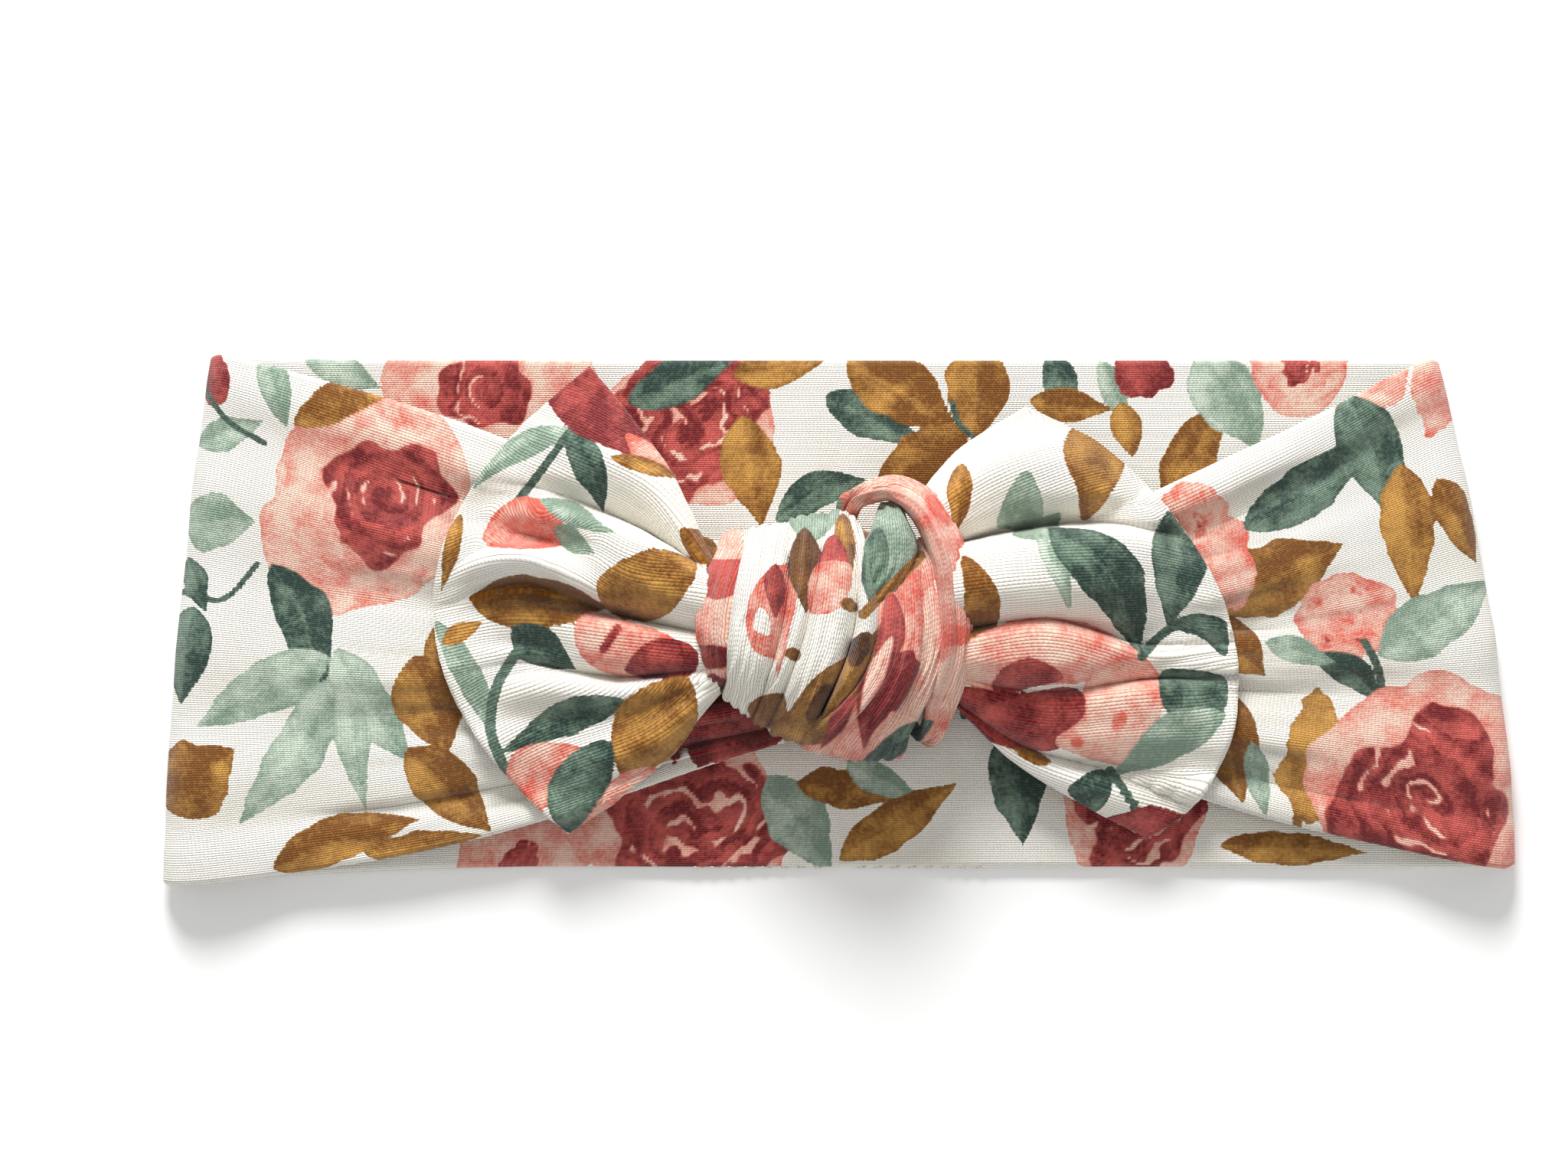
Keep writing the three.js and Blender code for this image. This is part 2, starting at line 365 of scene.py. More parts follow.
class Print:
    """Dye masks over a set of places, painted motif by motif."""

    def __init__(self, x, y):
        self.x = x
        self.y = y
        self.masks = np.zeros((len(x), len(DYES)))
        self.tone = np.full(len(x), 0.5)

    def lay(self, near, mask, dye, tone):
        """Lay a dye over what is there. mask and tone are given at the places in near."""
        mask = np.clip(mask, 0, 1)[:, None]
        target = np.zeros(len(DYES))
        if dye is not None:
            target[DYES.index(dye)] = 1
        self.masks[near] = self.masks[near] * (1 - mask) + target * mask
        self.tone[near] = self.tone[near] * (1 - mask[:, 0]) + tone * mask[:, 0]

    def near(self, x, y, reach):
        return np.nonzero((np.abs(self.x - x) < reach) & (np.abs(self.y - y) < reach))[0]


EDGE = 0.35


def leaf(sheet, dye, base, tip, width, bend=0.0, tone=0.6, vein=0.0, seed=0):
    """A pointed leaf from base to tip. bend curves it, vein lightens its middle line."""
    (bx, by), (tx, ty) = base, tip
    length = math.hypot(tx - bx, ty - by)
    near = sheet.near((bx + tx) / 2, (by + ty) / 2, length * 0.75 + width)
    x = sheet.x[near]
    y = sheet.y[near]
    ux, uy = (tx - bx) / length, (ty - by) / length
    a = ((x - bx) * ux + (y - by) * uy) / length
    c = -(x - bx) * uy + (y - by) * ux
    inside = np.clip(a, 0, 1)
    c = c - bend * length * np.sin(math.pi * inside) + 0.5 * (noise(x, y, 3.1, seed + 8) - 0.5)
    wobble = 1 + 0.22 * (noise(x, y, 2.2, seed + 31) - 0.5)
    half = width / 2 * 3.6 * inside ** 0.8 * (1 - inside) ** 1.2 * wobble
    rim = half - np.abs(c)
    mask = step_up(rim, -EDGE, EDGE) * (a > -0.01) * (a < 1.01)
    grain = rough_noise(x, y, 3.0, seed + 5)
    streak = noise(a * length, c * 4, 3.5, seed + 6)
    shade = tone + 1.5 * (grain - 0.5) + 0.35 * (streak - 0.5) + 0.2 * (a - 0.5) + 0.16 * np.sign(c)
    shade = shade + 0.22 * (1 - step_up(rim, 0.1, 0.8))
    if vein:
        line = step_up(0.3 - np.abs(c), -0.2, 0.2) * step_up(0.85 - a, 0, 0.2)
        shade = shade - (vein + 0.2) * line
    sheet.lay(near, mask, dye, np.clip(shade, 0, 1))


def distance_to(path, x, y):
    """How far places lie from a line through the points of a path."""
    gap = np.full(len(x), 1e9)
    for (ax, ay), (bx, by) in zip(path, path[1:]):
        dx, dy = bx - ax, by - ay
        square = max(dx * dx + dy * dy, 1e-9)
        t = np.clip(((x - ax) * dx + (y - ay) * dy) / square, 0, 1)
        gap = np.minimum(gap, np.hypot(x - ax - t * dx, y - ay - t * dy))
    return gap


def stem(sheet, dye, points, width=0.8, tone=0.8, seed=0):
    """A thin line through points."""
    path = spline(np.array(points, float), np.linspace(0, len(points) - 1, 12 * len(points)))
    middle = path.mean(axis=0)
    reach = np.abs(path - middle).max() + width + 1
    near = sheet.near(middle[0], middle[1], reach)
    gap = distance_to(path, sheet.x[near], sheet.y[near])
    mask = step_up(width / 2 - gap, -EDGE * 0.7, EDGE * 0.7)
    sheet.lay(near, mask, dye, np.full(len(near), tone))


def blot(sheet, dye, centre, size, turn=0.0, tone=0.6, ragged=0.35, seed=0):
    """An uneven patch of dye. size is its two half widths, turn its angle in degrees."""
    reach = max(size) * 1.7 + 1
    near = sheet.near(centre[0], centre[1], reach)
    angle = math.radians(turn)
    dx = sheet.x[near] - centre[0]
    dy = sheet.y[near] - centre[1]
    u = (dx * math.cos(angle) + dy * math.sin(angle)) / size[0]
    v = (-dx * math.sin(angle) + dy * math.cos(angle)) / size[1]
    radius = np.hypot(u, v)
    grain = rough_noise(sheet.x[near], sheet.y[near], 0.55 * min(size) + 1, seed + 17)
    limit = 1 + ragged * 2 * (grain - 0.5)
    soft = EDGE / min(size)
    mask = step_up(limit - radius, -soft, soft)
    shade = tone + 1.5 * (rough_noise(sheet.x[near], sheet.y[near], 2.8, seed + 3) - 0.5)
    shade = shade + 0.2 * (1 - step_up((limit - radius) * min(size), 0.1, 0.9))
    sheet.lay(near, mask, dye, np.clip(shade, 0, 1))


def patch(sheet, dye, outline, tone=0.6, seed=0):
    """A shape filled with dye. outline is a ring of places joined by a smooth curve."""
    ring = np.array(outline, float)
    turns = np.linspace(2, len(ring) + 2, 5 * len(ring) + 1)
    path = spline(np.concatenate([ring[-2:], ring, ring[:2]]), turns)
    middle = (path.min(axis=0) + path.max(axis=0)) / 2
    near = sheet.near(middle[0], middle[1], np.abs(path - middle).max() + 1)
    x, y = sheet.x[near], sheet.y[near]
    gap = distance_to(path, x, y)
    inside = np.zeros(len(near), bool)
    for (ax, ay), (bx, by) in zip(path, path[1:]):
        if ay != by:
            inside ^= ((ay > y) != (by > y)) & (x < ax + (bx - ax) * (y - ay) / (by - ay))
    depth = np.where(inside, gap, -gap) + 0.5 * (rough_noise(x, y, 1.8, seed + 2) - 0.5)
    shade = tone + 1.5 * (rough_noise(x, y, 2.6, seed + 3) - 0.5)
    shade = shade + 0.2 * (1 - step_up(depth, 0.1, 0.8))
    sheet.lay(near, step_up(depth, -EDGE * 0.7, EDGE * 0.7), dye, np.clip(shade, 0, 1))


def rose(sheet, centre, radius, heart=0.6, shift=(0, 0), pale=0.25, turns=3.2, seed=0):
    """A rose: pale outer petals, and a burgundy heart of spiral petals with pale lines between."""
    blot(sheet, "salmon", centre, (radius, radius), tone=pale, ragged=0.2, seed=seed)
    near = sheet.near(centre[0], centre[1], radius * 1.2)
    x, y = sheet.x[near], sheet.y[near]
    dx, dy = x - centre[0], y - centre[1]
    r = np.hypot(dx, dy) / radius
    angle = np.arctan2(dy, dx)
    warp = rough_noise(x, y, radius * 0.45, seed + 9) - 0.5
    phase = (r * 2.6 - 1.5 * angle / math.pi + 1.6 * warp) % 1
    stroke = step_up(phase, 0.45, 0.95) * step_up(1.0 - r, 0, 0.1)
    stroke = stroke * step_up(noise(x, y, 3.0, seed + 4), 0.3, 0.6)
    sheet.lay(near, stroke * 0.7, "salmon", np.clip(pale + 0.45 + warp, 0, 1))
    hx, hy = centre[0] + shift[0], centre[1] + shift[1]
    dx, dy = x - hx, y - hy
    r = np.hypot(dx, dy) / (radius * heart)
    angle = np.arctan2(dy, dx)
    lobed = 1 + 0.14 * np.sin(3 * angle + seed) + 0.08 * np.sin(7 * angle + 2 * seed) + 0.55 * warp
    core = step_up(lobed - r, -0.06, 0.06)
    phase = (r * turns - angle / (2 * math.pi) + 2.4 * warp) % 1
    grain = rough_noise(x, y, 2.6, seed + 14) - 0.5
    sheet.lay(near, core, "burgundy", np.clip(0.3 + 0.6 * phase + 1.8 * grain, 0, 1))
    breaks = rough_noise(x, y, radius * 0.3, seed + 21)
    width = 0.06 + 0.1 * breaks
    line = step_up(width - np.abs(phase - 0.5), -0.05, 0.05) * step_up(breaks, 0.46, 0.56)
    line = line * step_up(1.0 - r, 0, 0.15)
    sheet.lay(near, line * 0.85, "salmon", np.clip(0.1 + warp, 0, 1))


def bud(sheet, centre, radius, seed=0):
    """A small half-open rose: salmon with deeper strokes."""
    blot(sheet, "salmon", centre, (radius, radius * 0.9), tone=0.35, ragged=0.3, seed=seed)
    near = sheet.near(centre[0], centre[1], radius * 1.2)
    grain = rough_noise(sheet.x[near], sheet.y[near], radius * 0.35, seed + 2)
    r = np.hypot(sheet.x[near] - centre[0], sheet.y[near] - centre[1]) / radius
    mark = step_up(grain, 0.55, 0.62) * step_up(0.95 - r, 0, 0.2)
    sheet.lay(near, mask=mark * 0.85, dye="salmon", tone=np.full(len(near), 0.95))
    deep = step_up(grain, 0.68, 0.74) * step_up(0.8 - r, 0, 0.2)
    sheet.lay(near, deep * 0.8, "burgundy", np.full(len(near), 0.4))


def sow(sheet, spacing, seed):
    """The same flowers and leaves strewn at random, for cloth that the photo doesn't show."""
    rng = np.random.RandomState(seed)
    x0, x1 = sheet.x.min() - 8, sheet.x.max() + 8
    y0, y1 = sheet.y.min() - 8, sheet.y.max() + 8
    kinds = ("rose", "ochre", "green", "sage", "ochre", "bud", "green", "sage", "brown")
    count = 0
    for row, y in enumerate(np.arange(y0, y1, spacing)):
        for x in np.arange(x0 + (row % 2) * spacing / 2, x1, spacing):
            cx = x + rng.uniform(-0.25, 0.25) * spacing
            cy = y + rng.uniform(-0.25, 0.25) * spacing
            kind = kinds[rng.randint(len(kinds))]
            heading = rng.uniform(0, 2 * math.pi)
            size = spacing * rng.uniform(0.42, 0.6)
            count += 1
            if kind == "rose":
                rose(sheet, (cx, cy), size, seed=seed + count)
            elif kind == "bud":
                bud(sheet, (cx, cy), size * 0.5, seed=seed + count)
            else:
                dx, dy = math.cos(heading) * size, math.sin(heading) * size
                leaf(sheet, kind, (cx - dx * 0.8, cy - dy * 0.8), (cx + dx * 0.8, cy + dy * 0.8),
                     size * 0.62, rng.uniform(-0.12, 0.12), rng.uniform(0.4, 0.75), 0.2, seed + count)


SIDES = {"left": -1, "right": 1}


def between(first, last, share):
    return first + (last - first) * share


def box_mm(node):
    low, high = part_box(node)
    return np.array(low) / MM, np.array(high) / MM


# Places of the knot, the necks and the roots of the bow ends are drawn in this box, and fitted to
# the box of the knot's CAD wraps.
DRAWN_BOX = np.array([(-21.6, -20.3, 0.0), (17.6, 19.3, 25.0)])
KNOT_WRAPS = ("knot_left_wrap", "knot_middle_wrap", "knot_right_wrap", "knot_right_roll")
KNOT_CORNERS = np.array([box_mm(node) for node in KNOT_WRAPS])
KNOT_LOW = KNOT_CORNERS[:, 0].min(axis=0) * (1, 1, 0)
KNOT_HIGH = KNOT_CORNERS[:, 1].max(axis=0)


def on_knot(x, y, z=0.0):
    """A drawn place, fitted to the CAD knot."""
    share = (np.array((x, y, z)) - DRAWN_BOX[0]) / (DRAWN_BOX[1] - DRAWN_BOX[0])
    return between(KNOT_LOW, KNOT_HIGH, share)


# ---------------------------------------------------------------- fold lines of the bow ends

# A fold has a kind, its share of the way from the upper edge to the lower edge at four stations
# between the knot and the rim, and its heights there.
FAN_STATIONS = (0.0, 0.35, 0.7, 1.0)
FAN_SPREAD = 0.7
FAN_SHAPES = {
    "left": {"root": ((-18.5, 8.5), (-17.0, -10.0)), "tips": (0.65, 0.56), "roundness": 1.0},
    "right": {"root": ((11.0, 17.0), (15.0, -10.5)), "tips": (0.80, 0.32), "roundness": 0.75},
}
LEFT_FAN_FOLDS = [
    ("plain", (0, 0, 0, 0), (11, 9.5, 7.5, 6)),
    ("crest", (0.03, 0.08, 0.12, 0.14), (12.5, 12, 11.5, 6.5)),
    ("plain", (0.06, 0.14, 0.17, 0.19), (12.5, 10.5, 10.5, 6.2)),
    ("valley", (0.10, 0.2, 0.215, 0.24), (11, 7.8, 8, 6)),
    ("crest", (0.16, 0.25, 0.26, 0.295), (14.5, 14.5, 11, 6.2)),
    ("plain", (0.29, 0.35, 0.33, 0.39), (15, 14.5, 7.8, 5.8)),
    ("crest", (0.42, 0.435, 0.38, 0.455), (14, 13, 14.5, 6.4)),
    ("plain", (0.53, 0.47, 0.412, 0.49), (12, 10, 12, 5.8)),
    ("valley", (0.58, 0.5, 0.44, 0.52), (10, 7.2, 6.8, 5.4)),
    ("crest", (0.63, 0.56, 0.535, 0.575), (12.5, 12.8, 9.5, 5.8)),
    ("plain", (0.76, 0.665, 0.595, 0.62), (12.5, 12, 8, 5.6)),
    ("valley", (0.80, 0.715, 0.64, 0.665), (8, 6.4, 5.8, 5.4)),
    ("crest", (0.84, 0.76, 0.70, 0.72), (12, 11.5, 10.2, 5.8)),
    ("plain", (0.89, 0.84, 0.80, 0.81), (12.5, 9.8, 7.8, 5.5)),
    ("crest", (0.94, 0.92, 0.90, 0.90), (12, 10.8, 9.4, 5.8)),
    ("plain", (1, 1, 1, 1), (9.5, 8, 6.6, 5.5)),
]
RIGHT_FAN_FOLDS = [
    ("plain", (0, 0, 0, 0), (9, 8.5, 7.5, 6)),
    ("crest", (0.1, 0.08, 0.08, 0.1), (13, 13.5, 12.5, 6.5)),
    ("plain", (0.2, 0.18, 0.17, 0.2), (13, 12, 12, 6.2)),
    ("valley", (0.27, 0.247, 0.255, 0.3), (11, 8, 8, 6)),
    ("crest", (0.31, 0.3, 0.3, 0.35), (15, 15, 13.8, 6.5)),
    ("plain", (0.47, 0.4, 0.4, 0.435), (17, 16.5, 13, 6.2)),
    ("plain", (0.62, 0.503, 0.5, 0.5), (14.5, 13.5, 10.2, 6)),
    ("valley", (0.7, 0.53, 0.575, 0.54), (11, 9.2, 8.6, 5.8)),
    ("crest", (0.75, 0.575, 0.6, 0.56), (14.5, 14.5, 10.5, 6.2)),
    ("plain", (0.8, 0.66, 0.62, 0.58), (14.5, 14.3, 10, 6)),
    ("plain", (0.86, 0.735, 0.64, 0.6), (12.5, 12, 9.2, 5.8)),
    ("valley", (0.88, 0.755, 0.66, 0.62), (8, 6, 7.2, 5.6)),
    ("crest", (0.90, 0.79, 0.70, 0.66), (11, 11, 11.5, 6.2)),
    ("plain", (0.935, 0.855, 0.77, 0.742), (11, 10.5, 11, 6)),
    ("plain", (0.96, 0.92, 0.865, 0.823), (10, 8.8, 9, 5.8)),
    ("valley", (0.97, 0.945, 0.9, 0.87), (8.6, 6.6, 6, 5.4)),
    ("crest", (0.985, 0.97, 0.95, 0.935), (9, 7.8, 8.2, 5.8)),
    ("plain", (1, 1, 1, 1), (8.5, 7, 6.5, 5.5)),
]
FAN_FOLDS = {"left": LEFT_FAN_FOLDS, "right": RIGHT_FAN_FOLDS}


def fan_lines(name):
    """Fold lines of a bow end, spread from the knot to the rim of its CAD solid."""
    side = SIDES[name]
    shape = FAN_SHAPES[name]
    low, high = box_mm(f"wing_{name}_rim_seam")
    outmost = high[0] if side > 0 else low[0]
    tips = [outmost - side * share * (high[0] - low[0]) for share in shape["tips"]]
    bulge = outmost - (tips[0] + tips[1]) / 2
    (root_x0, root_y0, _), (root_x1, root_y1, _) = [on_knot(*place) for place in shape["root"]]
    lines = []
    for kind, shares, heights in FAN_FOLDS[name]:
        points = []
        for out, share, z in zip(FAN_STATIONS, shares, heights):
            round_off = (4 * share * (1 - share)) ** shape["roundness"]
            rim_x = between(tips[0], tips[1], share) + bulge * round_off
            rim_y = between(high[1], low[1], share)
            x = between(between(root_x0, root_x1, share), rim_x, out)
            y = between(between(root_y0, root_y1, share), rim_y, out ** FAN_SPREAD)
            points.append((x, y, z))
        lines.append((kind, points))
    return lines


# ---------------------------------------------------------------- fold lines of the front panels

# A fold has a kind, its shares across the panel and its heights, each at the knot, halfway and at
# the side fold.
PANEL_STATIONS = (0.0, 0.25, 0.5, 0.75, 1.0)
FOLD_LEAN = {"left": 6.8, "right": 10.9}
LEAN_CURVE = 1.6
NECK_EDGES = {"left": (12.6, -21.0), "right": (6.6, -14.0)}
SEAM_TURN = 1.2
EDGE_BOWS = {"left": (2.8, 3.0), "right": (-0.2, 2.6)}
LEFT_PANEL_FOLDS = [
    ("plain", (0, 0, 0), (6, 5, 4.1)),
    ("crest", (0.08, 0.08, 0.05), (7.4, 7, 5)),
    ("valley", (0.2, 0.175, 0.12), (5.2, 4.5, 3.9)),
    ("crest", (0.32, 0.28, 0.25), (7.6, 6.8, 5.2)),
    ("valley", (0.44, 0.445, 0.42), (5.6, 5, 4)),
    ("crest", (0.55, 0.56, 0.55), (7.4, 6.4, 5)),
    ("valley", (0.66, 0.68, 0.68), (5.4, 4.8, 4)),
    ("crest", (0.78, 0.79, 0.8), (7.2, 6.4, 5.1)),
    ("valley", (0.88, 0.885, 0.895), (5.2, 4.5, 3.9)),
    ("crest", (0.94, 0.94, 0.945), (6.4, 5.7, 4.3)),
    ("plain", (1, 1, 1), (5.8, 4.9, 4)),
]
RIGHT_PANEL_FOLDS = [
    ("plain", (0, 0, 0), (6, 5, 4.1)),
    ("crest", (0.08, 0.07, 0.04), (7.4, 6.8, 5)),
    ("valley", (0.17, 0.16, 0.1), (5.2, 4.5, 3.9)),
    ("crest", (0.3, 0.3, 0.26), (7.6, 6.8, 5.2)),
    ("valley", (0.46, 0.48, 0.44), (5.4, 4.6, 3.9)),
    ("crest", (0.54, 0.56, 0.55), (7.4, 6.6, 5.1)),
    ("valley", (0.63, 0.64, 0.66), (5.4, 4.7, 4)),
    ("crest", (0.76, 0.78, 0.8), (7.2, 6.5, 5.1)),
    ("valley", (0.9, 0.9, 0.91), (5.2, 4.5, 3.9)),
    ("crest", (0.95, 0.95, 0.95), (6.4, 5.7, 4.3)),
    ("plain", (1, 1, 1), (5.8, 4.9, 4)),
]
PANEL_FOLDS = {"left": LEFT_PANEL_FOLDS, "right": RIGHT_PANEL_FOLDS}


def panel_lines(name):
    """Fold lines of a front panel, from the knot to the leaning side fold."""
    side = SIDES[name]
    low, high = box_mm(f"back_{name}_inner_ply")
    fold_x = high[0] if side > 0 else -low[0]
    low_front, high_front = box_mm(f"front_{name}_outer_ply")
    neck_x = min(abs(low_front[0]), abs(high_front[0]))
    top, bottom = high[1] + SEAM_TURN, low[1] - SEAM_TURN
    neck_top, neck_bottom = [on_knot(0, y)[1] for y in NECK_EDGES[name]]
    bow_top, bow_bottom = EDGE_BOWS[name]
    lines = []
    for kind, shares, heights in PANEL_FOLDS[name]:
        points = []
        for out in PANEL_STATIONS:
            share = np.interp(out, (0, 0.5, 1), shares)
            bow = math.sin(math.pi * out)
            upper = between(neck_top, top, out) + bow_top * bow
            lower = between(neck_bottom, bottom, out) - bow_bottom * bow
            end_x = fold_x - FOLD_LEAN[name] * (1 - share) ** LEAN_CURVE
            x = side * between(neck_x, end_x, out)
            points.append((x, between(upper, lower, share), np.interp(out, (0, 0.5, 1), heights)))
        lines.append((kind, points))
    return lines


# ---------------------------------------------------------------- turns of the knot

# A turn has the heights of its two ends, and two edges from the left to the right. An edge has its
# places from the top of the knot to the bottom, and the height of its crown.
KNOT_TURNS = {
    # narrow left band
    "knot_wrap_left_1": ((9, 8),
        ([(-16.5, 12.5), (-20.3, 0), (-18, -9.5)], 15), ([(-12.5, 12.5), (-15.5, 0), (-16, -10)], 20)),
    # broad left band
    "knot_wrap_left_2": ((9, 7),
        ([(-13.5, 12.5), (-15.8, 0), (-16.3, -10)], 20), ([(-6.5, 13.5), (-7.6, 2), (-11.5, -13.5)], 22.3)),
    # band beside it
    "knot_wrap_left_3": ((9, 6.5),
        ([(-7.5, 14), (-8, 2), (-12, -13)], 21.6), ([(-1.5, 15), (-4, 1), (-10, -14.8)], 23)),
    # middle bands
    "knot_wrap_middle_1": ((9, 6.5),
        ([(-2, 15), (-5, 0), (-10, -15)], 22.2), ([(1.5, 15), (1.8, 0), (-4, -16.5)], 23.6)),
    "knot_wrap_middle_2": ((9, 6.5),
        ([(1, 15), (1.6, 0), (-4.3, -16)], 22.6), ([(2.8, 13), (5.3, -1), (-2.5, -17.5)], 23.2)),
    # curled turn at the top
    "knot_wrap_right_1": ((14, 21),
        ([(4.6, 15.3), (2.4, 8), (3.2, 1)], 21), ([(8.2, 17), (10.8, 10), (5, 0)], 20.5)),
    # pleats that fan out below it
    "knot_wrap_right_2": ((20.5, 6.5),
        ([(3.6, 3), (2.6, -7), (-6, -16.5)], 22), ([(9, 5), (7.5, -6), (-1.5, -18)], 23.2)),
    "knot_wrap_right_3": ((19.5, 6.5),
        ([(7.4, 6), (6, -6), (-3, -17.6)], 22.2), ([(11.3, 9), (10.8, -7), (3.5, -19)], 22.4)),
    "knot_wrap_right_4": ((15, 6.5),
        ([(10.4, 10), (9.4, -7), (2, -18.8)], 21.4), ([(12.5, 13), (15.8, 0), (8.5, -19)], 19.2)),
    # the two strands of the roll
    "knot_roll_inner": ((10, 6),
        ([(1.8, 14.8), (5, 17), (9, 14.8), (12.8, 4), (12.6, -7), (9.5, -15.5)], 20.8),
        ([(1.2, 17), (6, 19), (11.2, 16.8), (15.8, 4), (15.4, -8), (11.5, -17)], 20.8)),
    "knot_roll_outer": ((9, 5.5),
        ([(1.2, 16.8), (6, 18.9), (11, 16.6), (15.5, 4), (15.1, -8), (11.3, -16.8)], 20),
        ([(1, 17.4), (6.5, 20), (13.2, 17.4), (18, 4), (17.2, -9), (12.6, -17.8)], 13)),
}
EDGE_STATIONS = 9
CROWN_SQUARENESS = 3


def turn_edge(ends, places, crown):
    """Points along an edge of a turn: low at both ends and arched to its crown."""
    where = np.linspace(0, len(places) - 1, EDGE_STATIONS)
    path = spline(np.array(places, float), where)
    steps = np.linalg.norm(np.diff(path, axis=0), axis=1)
    share = np.concatenate([[0], np.cumsum(steps)]) / steps.sum()
    foot = between(ends[0], ends[1], share)
    arch = np.sqrt(np.clip(1 - np.abs(2 * share - 1) ** CROWN_SQUARENESS, 0, 1))
    z = foot + (crown - foot) * arch
    return [tuple(on_knot(x, y, height)) for (x, y), height in zip(path, z)]


# ---------------------------------------------------------------- where the motifs lie

# Millimetres on the cloth as it lies. A motif covers the ones before it.
FRONT_PRINT = [
    (rose, (-67, 16), 15, 0.58, (3, 1)),
    (blot, "burgundy", (-88, 34), (2, 4)),
    (leaf, "sage", (-81, 38), (-78, 27), 5),
    (leaf, "sage", (-91, 25), (-81, 28), 5),
    (stem, "green", [(-90, 33), (-86, 28), (-81, 25)]),
    (leaf, "sage", (-93, 14), (-82, 14), 9),
    (leaf, "ochre", (-77, 28), (-62, 33), 6, 0.05, 0.7),
    (leaf, "green", (-80, 8), (-73, -11), 8, 0.08, 0.8),
    (stem, "green", [(-93, 4), (-87, 3), (-82, 8)]),
    (leaf, "green", (-92, 9), (-89, 1), 4, 0, 0.7),
    (leaf, "green", (-91, 2), (-93, -12), 8, 0, 0.7),
    (leaf, "ochre", (-96, -26), (-85, -18), 12, 0, 0.75),
    (leaf, "sage", (-72, -5), (-91, -15), 8, 0, 0.45),
    (leaf, "sage", (-71, -8), (-85, -29), 8, 0.05, 0.4),
    (leaf, "sage", (-71, -4), (-60, -20), 8, -0.05, 0.45),
    (leaf, "sage", (-70, -8), (-67, -27), 5, 0, 0.4),
    (leaf, "ochre", (-52, 0), (-59, -8), 7, 0, 0.7),
    (leaf, "ochre", (-60, -5), (-55, -19), 11, 0, 0.85),
    (leaf, "ochre", (-61, -18), (-49, -30), 9, 0, 0.75),
    (leaf, "ochre", (-80, -35), (-59, -28), 7, 0.05, 0.7),
    (leaf, "ochre", (-67, -33), (-50, -30), 4, 0, 0.4),
    (blot, "burgundy", (-14, -15), (11, 4.5), 22, 0.75),
    (leaf, "ochre", (-21, 13), (-17, 6), 4, 0, 0.8),
    (leaf, "ochre", (53, 2), (71, 11), 11, 0, 0.65),
    (blot, "salmon", (54, 8), (4, 7), 0, 0.5),
    (bud, (50, 15), 5),
    (leaf, "green", (57, 13), (76, 27), 8, -0.05, 0.65),
    (stem, "sage", [(58, 25), (65, 29), (71, 32)]),
    (rose, (74, 36), 7, 0.4),
    (blot, "salmon", (84, 33), (4, 6), 0, 0.5),
    (leaf, "green", (71, 32), (78, 14), 9, 0.05, 0.6),
    (leaf, "ochre", (79, 22), (81, 2), 8, 0, 0.5),
    (leaf, "ochre", (84, 20), (90, 8), 6, 0, 0.7),
    (bud, (72, 0), 7),
    (stem, "green", [(74, -3), (76, -7), (77, -12)], 1.1),
    (leaf, "green", (67, -5), (77, -12), 5, 0.1, 0.8),
    (leaf, "sage", (76, -5), (93, 6), 9, 0, 0.7),
    (leaf, "sage", (60, -3), (70, -6), 4),
    (leaf, "ochre", (52, 0), (60, -8), 7, 0, 0.7),
    (leaf, "ochre", (53, -9), (57, -26), 9, 0, 0.8),
    (blot, "ochre", (67, -20), (5, 9), 0, 0.2),
    (rose, (83, -22), 16, 0.72, (0, -3)),
    (leaf, "sage", (58, -17), (60, -28), 4),
    (leaf, "green", (14, -12), (21, -13), 4, 0, 0.95),
]
BACK_PRINT = [
    (leaf, "sage", (-76, 38), (-65, 33), 6),
    (rose, (-50, 33), 15, 0.4),
    (rose, (-22, 27), 12, 0.85, (0, 1)),
    (leaf, "green", (-30, 31), (-15, 37), 7, 0, 0.8),
    (leaf, "ochre", (-15, 35), (-2, 37), 6, 0, 0.6),
    (leaf, "ochre", (-14, 29), (-11, 13), 9, 0, 0.55),
    (leaf, "green", (-2, 32), (12, 25), 7, 0, 0.65),
    (leaf, "ochre", (1, 37), (17, 26), 10, 0.05, 0.7),
    (leaf, "ochre", (18, 27), (4, 17), 9, 0, 0.9),
    (leaf, "green", (-9, 14), (4, 20), 6, 0.1, 0.7),
    (leaf, "ochre", (20, 39), (19, 25), 10, 0, 0.6),
    (stem, "green", [(16, 31), (17, 28), (19, 26)]),
    (leaf, "green", (30, 38), (33, 29), 5, 0, 0.6),
    (leaf, "ochre", (27, 31), (39, 30), 5, 0, 0.75),
    (leaf, "sage", (37, 37), (41, 28), 4),
    (leaf, "ochre", (40, 31), (42, 23), 5, 0, 0.5),
    (blot, "burgundy", (43, 35), (4, 4)),
    (leaf, "ochre", (46, 18), (55, 31), 8, 0, 0.75),
    (leaf, "sage", (51, 38), (60, 24), 10),
    (rose, (65, 36), 7, 0.4),
    (rose, (-45, -34), 9, 0.3),
    (rose, (-22, -30), 15, 0.85, (1, 0)),
    (leaf, "sage", (-10, -22), (-1, -36), 9),
    (leaf, "ochre", (-6, -23), (9, -25), 6, 0, 0.95),
    (leaf, "sage", (1, -20), (12, -26), 5),
    (leaf, "ochre", (0, -34), (17, -23), 7, 0, 0.6),
    (leaf, "green", (25, -15), (26, -32), 9, 0, 0.8),
    (rose, (42, -28), 10, 0.85),
    (leaf, "ochre", (54, -32), (75, -33), 5, 0, 0.7),
]
